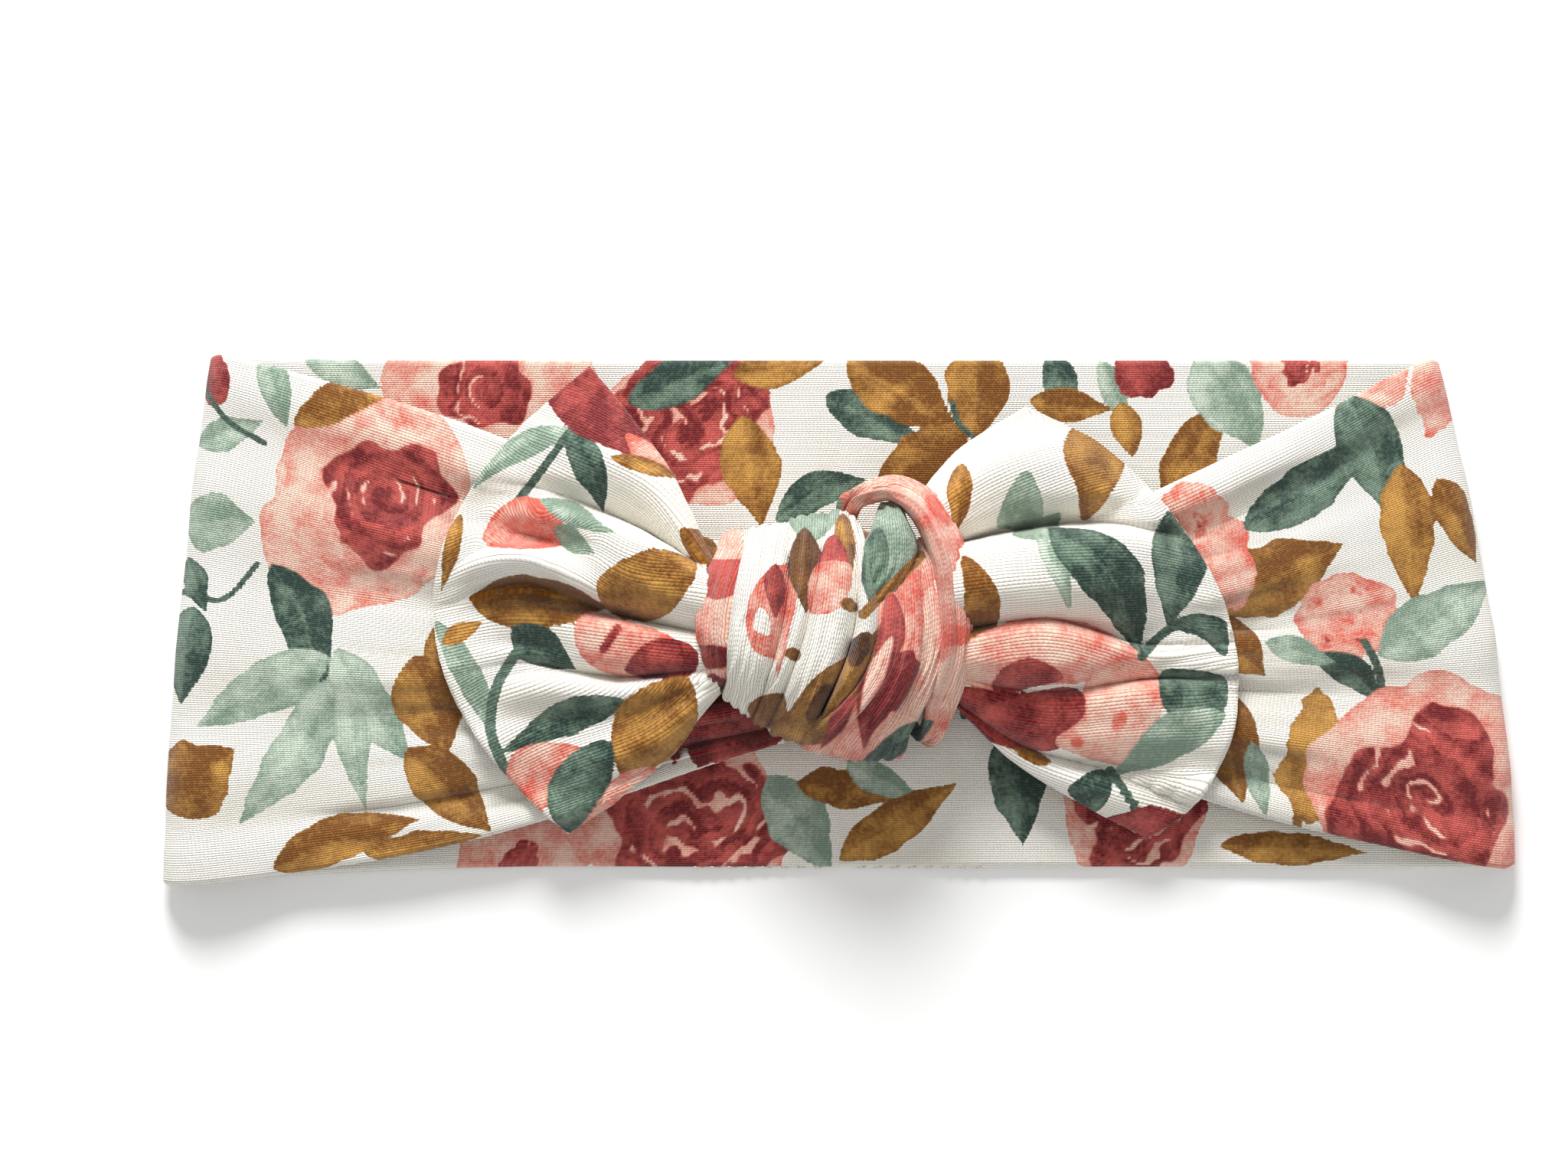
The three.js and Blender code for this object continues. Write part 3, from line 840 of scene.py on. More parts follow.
LEFT_FAN_PRINT = [
    (leaf, "sage", (-38, 27), (-52, 18), 4, -0.08, 0.85),
    (stem, "green", [(-38, 26), (-41, 22), (-45, 17)], 1.2),
    (leaf, "green", (-38, 27), (-33, 15), 5, 0.05, 0.75),
    (patch, "burgundy", [(-35, 37), (-30, 32), (-24, 22), (-32, 24), (-38, 27), (-41, 31)], 0.85),
    (patch, "salmon", [(-30, 26), (-25, 24), (-23, 20), (-28, 22)], 0.5),
    (leaf, "ochre", (-32, 23), (-22, 20), 2.5, 0, 0.65),
    (patch, "salmon", [(-46, 17), (-42, 17), (-38, 11), (-44, 10), (-50, 11)], 0.85),
    (leaf, "sage", (-42, 17), (-31, 12), 3, 0, 0.9),
    (leaf, "sage", (-40, 13), (-34, 9), 3, 0, 1.0),
    (patch, "ochre", [(-31, 8), (-25, 10), (-20, 8), (-22, 3), (-26, 0), (-33, 2), (-34, 5)]),
    (leaf, "ochre", (-22, 13), (-17, 7), 4, 0, 0.85),
    (leaf, "ochre", (-52, 3), (-32, 2), 8, 0, 0.9),
    (leaf, "ochre", (-53, 15), (-56, 4), 2.5, 0, 0.6),
    (patch, "salmon", [(-36, 1), (-30, 0), (-22, -4), (-24, -7), (-29, -8), (-35, -6), (-37, -3)], 0.45),
    (stem, "burgundy", [(-31, -1), (-33, -4)], 1.2),
    (patch, "burgundy", [(-27, -3), (-20, -4), (-20, -7), (-25, -8), (-30, -7)], 0.7),
    (leaf, "sage", (-57, 0), (-48, -18), 4, 0.05, 0.9),
    (leaf, "ochre", (-56, -3), (-50, 0), 3),
    # A green leaf in the deep pocket under the arched roll: green print, laid at its darkest tone as
    # painted shade of the pocket.
    (leaf, "green", (-46, -1), (-37, -7), 6, 0, 0.95),
    (stem, "green", [(-45, -4), (-48, -9), (-49, -15), (-47, -21)], 1.5, 0.6),
    (leaf, "green", (-30, -11), (-48, -19), 5, -0.05, 0.65),
    (patch, "ochre", [(-27, -9), (-21, -8), (-20, -14), (-25, -20), (-30, -22), (-32, -16), (-31, -12)]),
    (patch, "salmon", [(-46, -19), (-40, -17), (-36, -18), (-40, -24), (-42, -27), (-47, -22)], 0.5),
    (patch, "salmon", [(-37, -30), (-31, -27), (-24, -21), (-30, -21), (-34, -25)], 0.55),
    (patch, "green", [(-32, -17), (-32, -22), (-35, -27), (-38, -30), (-41, -26), (-40, -21)], 0.65),
]
RIGHT_FAN_PRINT = [
    (patch, "salmon", [(17, 26), (21, 29), (24, 31), (20, 27)], 0.6),
    (leaf, "ochre", (17, 22), (16, 12), 3.5, 0, 0.7),
    (patch, "sage", [(22, 13), (28, 14), (28, 17), (26, 21)], 0.6),
    (patch, "ochre", [(34, 28), (39, 26), (40, 22), (38, 18), (34, 14), (33, 18), (31, 24)], 0.65),
    (patch, "sage", [(24, 12), (30, 12), (31, 15), (27, 14)], 0.8),
    (leaf, "sage", (27, 12), (32, 1), 3, 0.05, 0.35),
    (leaf, "green", (47, 16), (46, -1), 9, 0.05, 0.75),
    (leaf, "green", (29, 13), (42, -6), 9, 0.14, 0.9),
    (patch, "ochre", [(17, 9), (20, 7), (22, 1), (20, -3), (17, -4), (17, 3)], 0.7),
    (patch, "salmon", [(17, -4), (24, 0), (33, 0), (38, -2), (42, -5), (36, -8), (28, -9), (17, -8)], 0.4),
    (patch, "burgundy", [(22, -7), (26, -5), (31, -8), (28, -9), (21, -9)], 0.55),
    (patch, "burgundy", [(15, -10), (25, -10), (34, -10), (35, -13), (30, -18), (25, -18), (18, -15)]),
    (patch, "salmon", [(34, -9), (42, -5), (45, -8), (44, -15), (41, -20), (34, -19), (30, -17),
                       (34, -13)], 0.3),
    (blot, "salmon", (39, -14), (0.9, 1.5), -30, 0.9),
    (blot, "salmon", (33, -17), (0.9, 0.8), 0, 0.9),
    (stem, "green", [(42, -5), (45, -2), (48, 0)], 1.3),
    (patch, "green", [(46, -1), (50, 1), (54, 0), (54, -5), (50, -2)], 0.85),
    (patch, "green", [(45, -7), (49, -7), (54, -8), (54, -12), (50, -15), (45, -12)], 0.7),
    (leaf, "sage", (54, -13), (38, -22), 7, -0.05, 0.9),
    (patch, "green", [(32, -24), (37, -21), (38, -22), (36, -27)], 0.65),
    (stem, "green", [(38, -21), (40, -24), (42, -27)], 1.2),
    (patch, "burgundy", [(36, -29), (40, -27), (45, -26), (49, -28), (45, -32), (40, -32)], 0.75),
    (blot, "ochre", (27, -19), (3, 1), -20),
]
KNOT_PRINT = [
    (patch, "salmon", [(-10, 7), (-7, 8), (-7, -1), (-9, -5), (-12, -4), (-13, 1)], 0.8),
    (leaf, "burgundy", (-9, 8), (-9, 0), 3, 0, 0.3),
    (patch, None, [(-11, 2), (-10, 1), (-10, -2), (-12, -1)]),
    (leaf, "salmon", (-8, 1), (-9, -8), 2, 0, 0.3),
    (blot, "ochre", (-6.5, -4.5), (1, 1), 0, 0.9),
    (patch, "ochre", [(-13, -12), (-8, -10), (-8, -14), (-11, -15)], 0.75),
    (patch, "sage", [(-7, 17), (0, 17), (-2, 12), (-4, 11), (-7, 13)], 0.8),
    (leaf, "brown", (-5, 13), (-5, 1), 5, 0, 0.4),
    (leaf, "ochre", (0, 15), (1.5, 7), 3, 0, 0.75),
    (patch, "burgundy", [(-1, 12), (1, 9), (1, 7), (-3, 7)], 0.35),
    (patch, "salmon", [(-3, 8), (1, 8), (0, 2), (-4, 1)], 0.4),
    (blot, "ochre", (1.2, 2.2), (1.2, 0.8), -30, 0.7),
    (patch, "ochre", [(6, 0), (2, -4), (-3, -7), (-7, -12), (-10, -16), (-3, -17), (1, -13), (4, -6)], 0.7),
    (blot, "brown", (2.5, -4), (1.4, 2.6), -25, 0.6),
    (blot, "brown", (-3, -11), (1.2, 3), -25, 0.5),
    (leaf, "green", (5, 13), (4, 1), 4, 0, 0.35),
    (stem, "ochre", [(11, 9), (7, 5), (3, 1)], 1.4, 0.7),
    (leaf, "burgundy", (7, 4), (4, -8), 4, 0.1, 0.3),
    (leaf, "burgundy", (10, -4), (3, -18), 6, -0.12, 0.85),
    (leaf, "burgundy", (2, -10), (-3, -18), 2.5, 0, 0.5),
    (leaf, "green", (13, -14), (2, -21), 4, 0, 0.8),
]
ROLL_PRINT = [
    (blot, "salmon", (13.5, 15.5), (2.6, 1), -50, 0.95),
    (blot, "salmon", (17, 7), (1, 4), 0, 0.95),
    (blot, "salmon", (16, -2), (4, 1.5), 0, 0.95),
    (blot, "salmon", (16, -9), (4, 4), 0, 0.05),
]
# Motifs that only one turn of the knot carries.
TURN_PRINTS = {
    "knot_wrap_left_1": [
        (blot, "burgundy", (-17, 6), (9, 2.6), 0, 0.25),
        (blot, "burgundy", (-18, -5), (9, 1.5), 0, 0.9),
        (blot, "burgundy", (-18, -10), (9, 2.2), 0, 0.85),
    ],
    "knot_wrap_right_2": [(leaf, "salmon", (7, -2), (2, -15), 2.5, 0, 0.05)],
    "knot_wrap_right_3": [(blot, "burgundy", (9, -9), (5, 3.5), 0, 0.9)],
    "knot_wrap_right_4": [(leaf, "salmon", (13, 8), (12, -14), 3, 0, 0.1)],
    "knot_roll_inner": ROLL_PRINT,
    "knot_roll_outer": ROLL_PRINT,
}


BARE = 0.02


def strew(sheet, prints, seed=SEED):
    """Paint a list of motifs in its order."""
    for number, (motif, *settings) in enumerate(prints):
        motif(sheet, *settings, seed=seed + 3 * number)


def paint(piece, x, y, prints=(), hidden=None, seed=SEED):
    """Store the print on a piece as dye masks. x and y are the places of its vertices on the print.

    Cloth that is hidden at rest keeps the motifs that reach it, and others are sown between them.
    """
    sheet = Print(x, y)
    strew(sheet, prints, seed)
    bare = None if hidden is None else hidden & (sheet.masks.max(axis=1) < BARE)
    if bare is not None and bare.any():
        part = Print(x[bare], y[bare])
        sow(part, SOW_SPACING, seed)
        sheet.masks[bare] = part.masks
        sheet.tone[bare] = part.tone
    count = len(x)
    for name, first in (("dyes_warm", 0), ("dyes_cool", 3)):
        colors = np.ones((count, 4), np.float32)
        colors[:, :3] = sheet.masks[:, first:first + 3]
        layer = piece.data.attributes.new(name, "FLOAT_COLOR", "POINT")
        layer.data.foreach_set("color", colors.ravel())
    layer = piece.data.attributes.new("tone", "FLOAT", "POINT")
    layer.data.foreach_set("value", sheet.tone.astype(np.float32))


def places(piece):
    """The x and y of a piece's vertices in millimetres."""
    points = np.zeros(len(piece.data.vertices) * 3)
    piece.data.vertices.foreach_get("co", points)
    points = points.reshape(-1, 3) / MM
    return points[:, 0], points[:, 1]


# ---------------------------------------------------------------- materials

def srgb(red, green, blue):
    """Linear colour from 8-bit sRGB."""
    channels = []
    for value in (red, green, blue):
        value = value / 255
        channels.append(value / 12.92 if value <= 0.04045 else ((value + 0.055) / 1.055) ** 2.4)
    return (*channels, 1.0)


CREAM = srgb(255, 252, 243)
CREAM_SHADE = srgb(250, 245, 232)
DYE_COLORS = {
    "burgundy": (srgb(210, 92, 84), srgb(116, 14, 22)),
    "salmon": (srgb(254, 212, 192), srgb(230, 98, 80)),
    "ochre": (srgb(212, 156, 74), srgb(126, 74, 12)),
    "green": (srgb(134, 160, 138), srgb(38, 64, 56)),
    "sage": (srgb(206, 220, 202), srgb(132, 156, 136)),
    "brown": (srgb(136, 86, 36), srgb(68, 34, 12)),
}
# The colour of the painted shade in the grooves between the knit loops.
PAINTED_GROOVE_SHADE = srgb(166, 154, 134)


class Nodes:
    """Short calls that add and link a material's nodes."""

    def __init__(self, material):
        self.tree = material.node_tree

    def add(self, kind, **settings):
        node = self.tree.nodes.new(kind)
        for name, value in settings.items():
            setattr(node, name, value)
        return node

    def put(self, socket, value):
        if isinstance(value, bpy.types.NodeSocket):
            self.tree.links.new(value, socket)
        else:
            socket.default_value = value

    def maths(self, operation, first, second=0.0):
        node = self.add("ShaderNodeMath", operation=operation)
        self.put(node.inputs[0], first)
        self.put(node.inputs[1], second)
        return node.outputs[0]

    def vector_maths(self, operation, *entries):
        node = self.add("ShaderNodeVectorMath", operation=operation)
        for socket, entry in zip(node.inputs, entries):
            if isinstance(entry, float):
                entry = (entry, entry, entry)
            self.put(socket, entry)
        return node.outputs[0]

    def weigh(self, color, weight, total):
        return self.vector_maths("MULTIPLY_ADD", color, weight, total)

    def rescale(self, value, low, high, new_low=0.0, new_high=1.0):
        node = self.add("ShaderNodeMapRange")
        for socket, entry in zip(node.inputs, (value, low, high, new_low, new_high)):
            self.put(socket, entry)
        return node.outputs[0]

    def mix(self, factor, first, second):
        node = self.add("ShaderNodeMix", data_type="RGBA")
        self.put(node.inputs[0], factor)
        self.put(node.inputs[6], first)
        self.put(node.inputs[7], second)
        return node.outputs[2]

    def noise(self, vector, scale, detail=2.0):
        node = self.add("ShaderNodeTexNoise")
        self.put(node.inputs["Vector"], vector)
        self.put(node.inputs["Scale"], scale)
        self.put(node.inputs["Detail"], detail)
        return node.outputs[0]

    def attribute(self, name):
        node = self.add("ShaderNodeAttribute", attribute_name=name)
        return node


def new_material(name):
    material = bpy.data.materials.new(name)
    material.use_nodes = True
    return material, material.node_tree.nodes["Principled BSDF"]


def knit_height(nodes, along, across, size):
    """Face-knit loops: two legs to a wale, and courses that lean to the legs' V."""
    wales = nodes.maths("DIVIDE", across, WALE_PITCH * size)
    phase = nodes.maths("SUBTRACT", nodes.maths("FRACT", wales), 0.5)
    legs = nodes.maths("ABSOLUTE", nodes.maths("SINE", nodes.maths("MULTIPLY", phase, 2 * math.pi)))
    legs = nodes.maths("POWER", legs, 0.6)
    lean = nodes.maths("MULTIPLY", nodes.maths("ABSOLUTE", phase), 1.2)
    courses = nodes.maths("ADD", nodes.maths("DIVIDE", along, COURSE_PITCH * size), lean)
    wave = nodes.maths("COSINE", nodes.maths("MULTIPLY", courses, 2 * math.pi))
    wave = nodes.maths("MULTIPLY_ADD", wave, 0.4)
    return nodes.maths("MULTIPLY", legs, nodes.rescale(wave, -1.0, 1.0, 0.2, 1.0))


def knit_places(nodes):
    """The place on the flat cloth, and its parts along and across the strip."""
    knit = nodes.add("ShaderNodeUVMap", uv_map="Knit").outputs[0]
    parts = nodes.add("ShaderNodeSeparateXYZ")
    nodes.put(parts.inputs[0], knit)
    return knit, parts


def jersey(name, loop_size=1.0, shadow=0.55):
    """Printed cotton jersey: dye masks over cream, face-knit relief with painted shade in its grooves, and
    a soft sheen.

    loop_size is that of the knit loops, which open where the cloth is stretched; shadow is how
    dark the painted shade in the grooves between them is.
    """
    material, shader = new_material(name)
    nodes = Nodes(material)
    knit, parts = knit_places(nodes)
    height = knit_height(nodes, parts.outputs[0], parts.outputs[1], loop_size)
    patches = nodes.noise(knit, 0.08)
    fibres = nodes.noise(knit, 1.6, 4.0)
    color = nodes.mix(nodes.rescale(patches, 0.35, 0.65), CREAM, CREAM_SHADE)
    tone = nodes.attribute("tone").outputs["Fac"]
    tone = nodes.maths("ADD", tone, nodes.rescale(fibres, 0.3, 0.7, -0.26, 0.26))
    bleed = nodes.rescale(fibres, 0.3, 0.7, -0.16, 0.16)
    white = nodes.rescale(height, 0.0, 0.45, 0.78, 1.0)
    covered = bleed
    weights = 0.0001
    blend = (0.0, 0.0, 0.0)
    for group, names in (("dyes_warm", DYES[:3]), ("dyes_cool", DYES[3:])):
        channels = nodes.add("ShaderNodeSeparateColor")
        nodes.put(channels.inputs[0], nodes.attribute(group).outputs["Color"])
        for channel, dye in zip(channels.outputs, names):
            covered = nodes.maths("ADD", covered, channel)
            share = nodes.maths("POWER", channel, 3.0)
            weights = nodes.maths("ADD", share, weights)
            light, dark = DYE_COLORS[dye]
            blend = nodes.weigh(nodes.mix(tone, light, dark), share, blend)
    blend = nodes.vector_maths("DIVIDE", blend, weights)
    mask = nodes.maths("MULTIPLY", nodes.rescale(covered, 0.4, 0.6), white)
    color = nodes.mix(mask, color, blend)
    # Painted shade: the colour is darkened towards the shade colour in the grooves between the loops.
    groove_painted_shade = nodes.rescale(height, 0.0, 0.5, shadow, 0.0)
    painted_shade_mix = nodes.add("ShaderNodeMix", data_type="RGBA", blend_type="MULTIPLY")
    nodes.put(painted_shade_mix.inputs[0], groove_painted_shade)
    nodes.put(painted_shade_mix.inputs[6], color)
    painted_shade_mix.inputs[7].default_value = PAINTED_GROOVE_SHADE
    nodes.put(shader.inputs["Base Color"], painted_shade_mix.outputs[2])
    fuzz = nodes.maths("MULTIPLY", nodes.noise(knit, 6.0, 4.0), 0.35)
    bump = nodes.add("ShaderNodeBump")
    bump.inputs["Strength"].default_value = 1.0
    bump.inputs["Distance"].default_value = 0.2 * MM
    nodes.put(bump.inputs["Height"], nodes.maths("ADD", height, fuzz))
    nodes.put(shader.inputs["Normal"], bump.outputs[0])
    shader.inputs["Roughness"].default_value = 0.92
    shader.inputs["Specular IOR Level"].default_value = 0.12
    shader.inputs["Sheen Weight"].default_value = 0.25
    shader.inputs["Sheen Roughness"].default_value = 0.5
    return material


def thread_material():
    """Two-ply sewing thread: a fine slanting twist, with painted shade in its grooves."""
    material, shader = new_material("seam_thread")
    nodes = Nodes(material)
    _, parts = knit_places(nodes)
    slant = nodes.maths("ADD", nodes.maths("MULTIPLY", parts.outputs[0], 9.0), parts.outputs[1])
    twist = nodes.maths("SINE", slant)
    # Painted shade: the thread is darker where the twist dips between the plies.
    shade = nodes.rescale(twist, -1.0, 1.0)
    nodes.put(shader.inputs["Base Color"], nodes.mix(shade, srgb(206, 198, 180), srgb(238, 233, 220)))
    bump = nodes.add("ShaderNodeBump")
    bump.inputs["Strength"].default_value = 0.6
    bump.inputs["Distance"].default_value = 0.04 * MM
    nodes.put(bump.inputs["Height"], twist)
    nodes.put(shader.inputs["Normal"], bump.outputs[0])
    shader.inputs["Roughness"].default_value = 0.6
    shader.inputs["Specular IOR Level"].default_value = 0.3
    return material


BAND_JERSEY = jersey("band_jersey", shadow=0.3)
TIE_JERSEY = jersey("tie_jersey", loop_size=1.35, shadow=0.8)
THREAD = thread_material()


# ---------------------------------------------------------------- the band

FOLD_MIRROR = 94.5
BACK_PLACES = (79.0, SPLIT_X, 22.0, 0.0)
NOSE_OUT = 0.75
NOSE_Z = 2.3
BACK_IN = 0.6
BACK_WAVE = 0.25
NECK_END = {"left": (-4.0, -3.0, 0.72), "right": (17.2, -3.7, 0.97)}
NECK_HEIGHT = 4.5
NECK_RELIEF = 0.35
BAND_PINCH = {"depth": 1.5, "width": 1.15, "outer": 0.45}
BAND_GATHERS = {"height": 1.9, "pitch": 5.2, "stretch": 6.0}
BAND_RIPPLES = {"height": 0.14, "pitch": 2.2, "stretch": 5.0}
BAND_CRUMPLES = {"size": 9.0, "height": 0.2}
FRONT_FLOOR = 3.75
BACK_CEILING = 1.4
FLOOR_SOFTNESS = 0.15
FLOOR_GAP = 0.15
# How far from the side fold the panels begin to be held apart, and where they fully are.
FRONT_APART = (1.2, 3.0)
BACK_APART = (1.0, 2.5)
GATHER_START = 0.3
# How much of the back's inner ply the front panels cover: a strip round a middle line, whose reach
# widens between two places along the band.
COVERED_X = (20, 80)
COVERED_REACH = (7, 22)
COVERED_MIDDLE = -3


def back_line(fraction, side, fold):
    """Back points of a fold line, from the fold to the middle of the back."""
    x_fold, y_fold, _ = fold
    flat = BACK_TOP + (BACK_BOTTOM - BACK_TOP) * fraction
    points = [(x_fold + side * NOSE_OUT, y_fold, NOSE_Z), (x_fold - side * BACK_IN, y_fold, BACK_HEIGHT)]
    for x in BACK_PLACES:
        near_fold = max(0.0, (x - SPLIT_X) / (FOLD_X - SPLIT_X)) ** 2
        y = flat + (y_fold - flat) * near_fold
        z = BACK_HEIGHT + BACK_WAVE * math.sin(fraction * 9 + x * 0.11) ** 2
        points.append((side * x, y, z))
    return points


def under_knot(name, point):
    """One more place for a fold line, where it goes in under the knot."""
    _, y, z = point
    end_x, middle, squeeze = NECK_END[name]
    x, middle, _ = on_knot(end_x, middle)
    return (x, middle + (y - middle) * squeeze, NECK_HEIGHT + NECK_RELIEF * (z - NECK_HEIGHT))


def band_surface(name, step):
    """One side of the band: from the knot over the fold to the middle of the back."""
    side = SIDES[name]
    rails = []
    front = panel_lines(name)
    top, bottom = front[0][1][-1][1], front[-1][1][-1][1]
    for kind, points in front:
        fraction = (top - points[-1][1]) / (top - bottom)
        start = [under_knot(name, points[0])]
        rails.append((kind, start + list(points) + back_line(fraction, side, points[-1])))
    points, kinds = skin(rails, step, flip=side < 0)
    front_columns = int(np.argmax(np.abs(points[..., 0]).mean(axis=0)))
    front_part = points[:, :front_columns].copy()
    pinch(front_part, kinds, **BAND_PINCH)
    to_knot = np.linspace(0, 1, front_columns)[::-1]
    fade = (step_up(to_knot, 0, GATHER_START) * to_knot)[None, :, None]
    wrinkled = gathers(front_part, **BAND_GATHERS, seed=SEED + 60)
    wrinkled = gathers(wrinkled, **BAND_RIPPLES, seed=SEED + 63)
    points[:, :front_columns] = points[:, :front_columns] * (1 - fade) + wrinkled * fade
    points = crumple(points, **BAND_CRUMPLES, seed=SEED + side)
    keep_apart(points, front_columns)
    points[..., 2] = np.maximum(points[..., 2], PLY + FLOOR_GAP)
    return Cloth(points, [], sewn_end=False)


def keep_apart(points, nose):
    """Hold the front panel above the side fold's hinge, and the back panel below it."""
    along = path_lengths(points, 1)
    ahead = along[:, nose:nose + 1] - along
    z = points[..., 2]
    lift = soft_max(z, np.full_like(z, FRONT_FLOOR), FLOOR_SOFTNESS) - z
    drop = np.minimum(z, BACK_CEILING) - z
    points[..., 2] = z + lift * step_up(ahead, *FRONT_APART) + drop * step_up(-ahead, *BACK_APART)


def split_columns(cloth):
    """Column ranges of the front panel, the fold and the back panel, from the knot outwards."""
    x = np.abs(cloth.points[..., 0]).mean(axis=0)
    widest = int(np.argmax(x))
    first = int(np.argmin(np.abs(x[:widest] - SPLIT_X)))
    second = widest + int(np.argmin(np.abs(x[widest:] - SPLIT_X)))
    last = len(x) - 1
    return {"front": (0, first + 1), "fold": (first, second + 1), "back": (second, last + 1)}


def settle_band(piece, region, name):
    """Band pieces stay where they lie, save the right front panel, which follows the front_right body."""
    if region == "back":
        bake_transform(piece)
    elif region == "fold":
        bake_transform(piece)
    elif name == "left":
        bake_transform(piece)
    else:
        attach(piece, "front_right")


def band_print(piece, ply, side):
    """The outer ply shows the front print on top; the inner ply shows the back print."""
    x, y = places(piece)
    points = np.zeros(len(x) * 3)
    piece.data.vertices.foreach_get("co", points)
    below = points.reshape(-1, 3)[:, 2] / MM < FOLD_Z
    beyond = side * 2 * FOLD_MIRROR - x
    if ply == "outer":
        paint(piece, np.where(below, beyond, x), y, FRONT_PRINT, hidden=below)
    else:
        reach = np.interp(np.abs(x), COVERED_X, COVERED_REACH)
        covered = np.abs(y - COVERED_MIDDLE) < reach
        paint(piece, np.where(below, x, beyond), y, BACK_PRINT, hidden=~below | covered)


def band_plies():
    """Both plies of each side, cut at the joints' bodies into pieces with matching edges."""
    surfaces = {}
    for name, side in SIDES.items():
        cloth = band_surface(name, GRID_STEP)
        surfaces[name] = cloth
        for region, columns in split_columns(cloth).items():
            for ply, face in (("outer", 1), ("inner", -1)):
                title = f"band_{region}_{name}_{ply}"
                piece = ply_piece(title, cloth, face, columns=columns)
                piece.data.materials.append(BAND_JERSEY)
                band_print(piece, ply, side)
                settle_band(piece, region, name)
        for ply in ("outer", "inner"):
            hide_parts(f"front_{name}_{ply}_ply")
            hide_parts(f"back_{name}_{ply}_ply")
            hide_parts(f"back_center_{ply}_ply")
    return surfaces


# ---------------------------------------------------------------- the bow ends

FAN_PRINTS = {"left": LEFT_FAN_PRINT, "right": RIGHT_FAN_PRINT}
FAN_PINCH = {"depth": 2.0, "width": 0.85, "outer": 0.1}
FAN_RIPPLES = {"height": 0.13, "pitch": 2.6, "stretch": 5.0}
FAN_CRUMPLES = {"size": 6.0, "height": 0.25}
FAN_CLEARANCE = 2.6
FAN_OVERHANG = 60
FAN_RELIEF = 1.25
FAN_MIDDLE = 6
FAN_STEP = 0.36
LIFT_SOFTNESS = 0.8
MAP_CELL = 1.0


class HeightMap:
    """The highest point of a surface over a grid of small squares."""

    def __init__(self, points):
        self.low = points[..., :2].reshape(-1, 2).min(axis=0) - MAP_CELL
        span = points[..., :2].reshape(-1, 2).max(axis=0) - self.low
        self.shape = (np.ceil(span / MAP_CELL) + 2).astype(int)
        self.heights = np.zeros(self.shape)
        cells = ((points[..., :2].reshape(-1, 2) - self.low) / MAP_CELL).astype(int)
        np.maximum.at(self.heights, (cells[:, 0], cells[:, 1]), points[..., 2].ravel())
        for _ in range(3):
            self.heights = self.smoothed()

    def smoothed(self):
        padded = np.pad(self.heights, 1, mode="edge")
        blocks = [padded[i:i + self.shape[0], j:j + self.shape[1]] for i in range(3) for j in range(3)]
        return np.maximum(self.heights, np.mean(blocks, axis=0))

    def read(self, x, y):
        u = np.clip((x - self.low[0]) / MAP_CELL - 0.5, 0, self.shape[0] - 1.001)
        v = np.clip((y - self.low[1]) / MAP_CELL - 0.5, 0, self.shape[1] - 1.001)
        iu, iv = u.astype(int), v.astype(int)
        fu, fv = u - iu, v - iv
        low = self.heights[iu, iv] * (1 - fu) + self.heights[iu + 1, iv] * fu
        high = self.heights[iu, iv + 1] * (1 - fu) + self.heights[iu + 1, iv + 1] * fu
        return low * (1 - fv) + high * fv


def soft_max(first, second, softness):
    top = np.maximum(first, second)
    return top + softness * np.log(np.exp((first - top) / softness) + np.exp((second - top) / softness))


def fan_surface(name, band):
    rails = [(kind, [raised(point, kind) for point in points]) for kind, points in fan_lines(name)]
    points, kinds = skin(rails, FAN_STEP, flip=name == "left")
    points = crumple(points, **FAN_CRUMPLES, seed=SEED + 11)
    front = split_columns(band)
    top = band.points[:, :front["fold"][0] + FAN_OVERHANG]
    floor = HeightMap(top).read(points[..., 0], points[..., 1]) + FAN_CLEARANCE
    points[..., 2] = soft_max(points[..., 2], floor, LIFT_SOFTNESS)
    pinch(points, kinds, **FAN_PINCH)
    points = gathers(points, **FAN_RIPPLES, seed=SEED + 71)
    return Cloth(points, kinds, sewn_end=True)


def raised(point, kind):
    """Exaggerate the relief of the crests."""
    x, y, z = point
    if kind == "valley":
        return point
    return (x, y, FAN_MIDDLE + (z - FAN_MIDDLE) * FAN_RELIEF)


def fan_plies(bands):
    fans = {}
    for name in SIDES:
        cloth = fan_surface(name, bands[name])
        fans[name] = cloth
        for ply, face in (("front", 1), ("back", -1)):
            piece = ply_piece(f"wing_{name}_{ply}", cloth, face)
            piece.data.materials.append(TIE_JERSEY)
            x, y = places(piece)
            if ply == "front":
                paint(piece, x, y, FAN_PRINTS[name])
            else:
                paint(piece, x, y, hidden=np.ones(len(x), bool), seed=SEED + 5)
            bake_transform(piece)
            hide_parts(f"wing_{name}_{ply}_ply")
    return fans


# ---------------------------------------------------------------- the knot

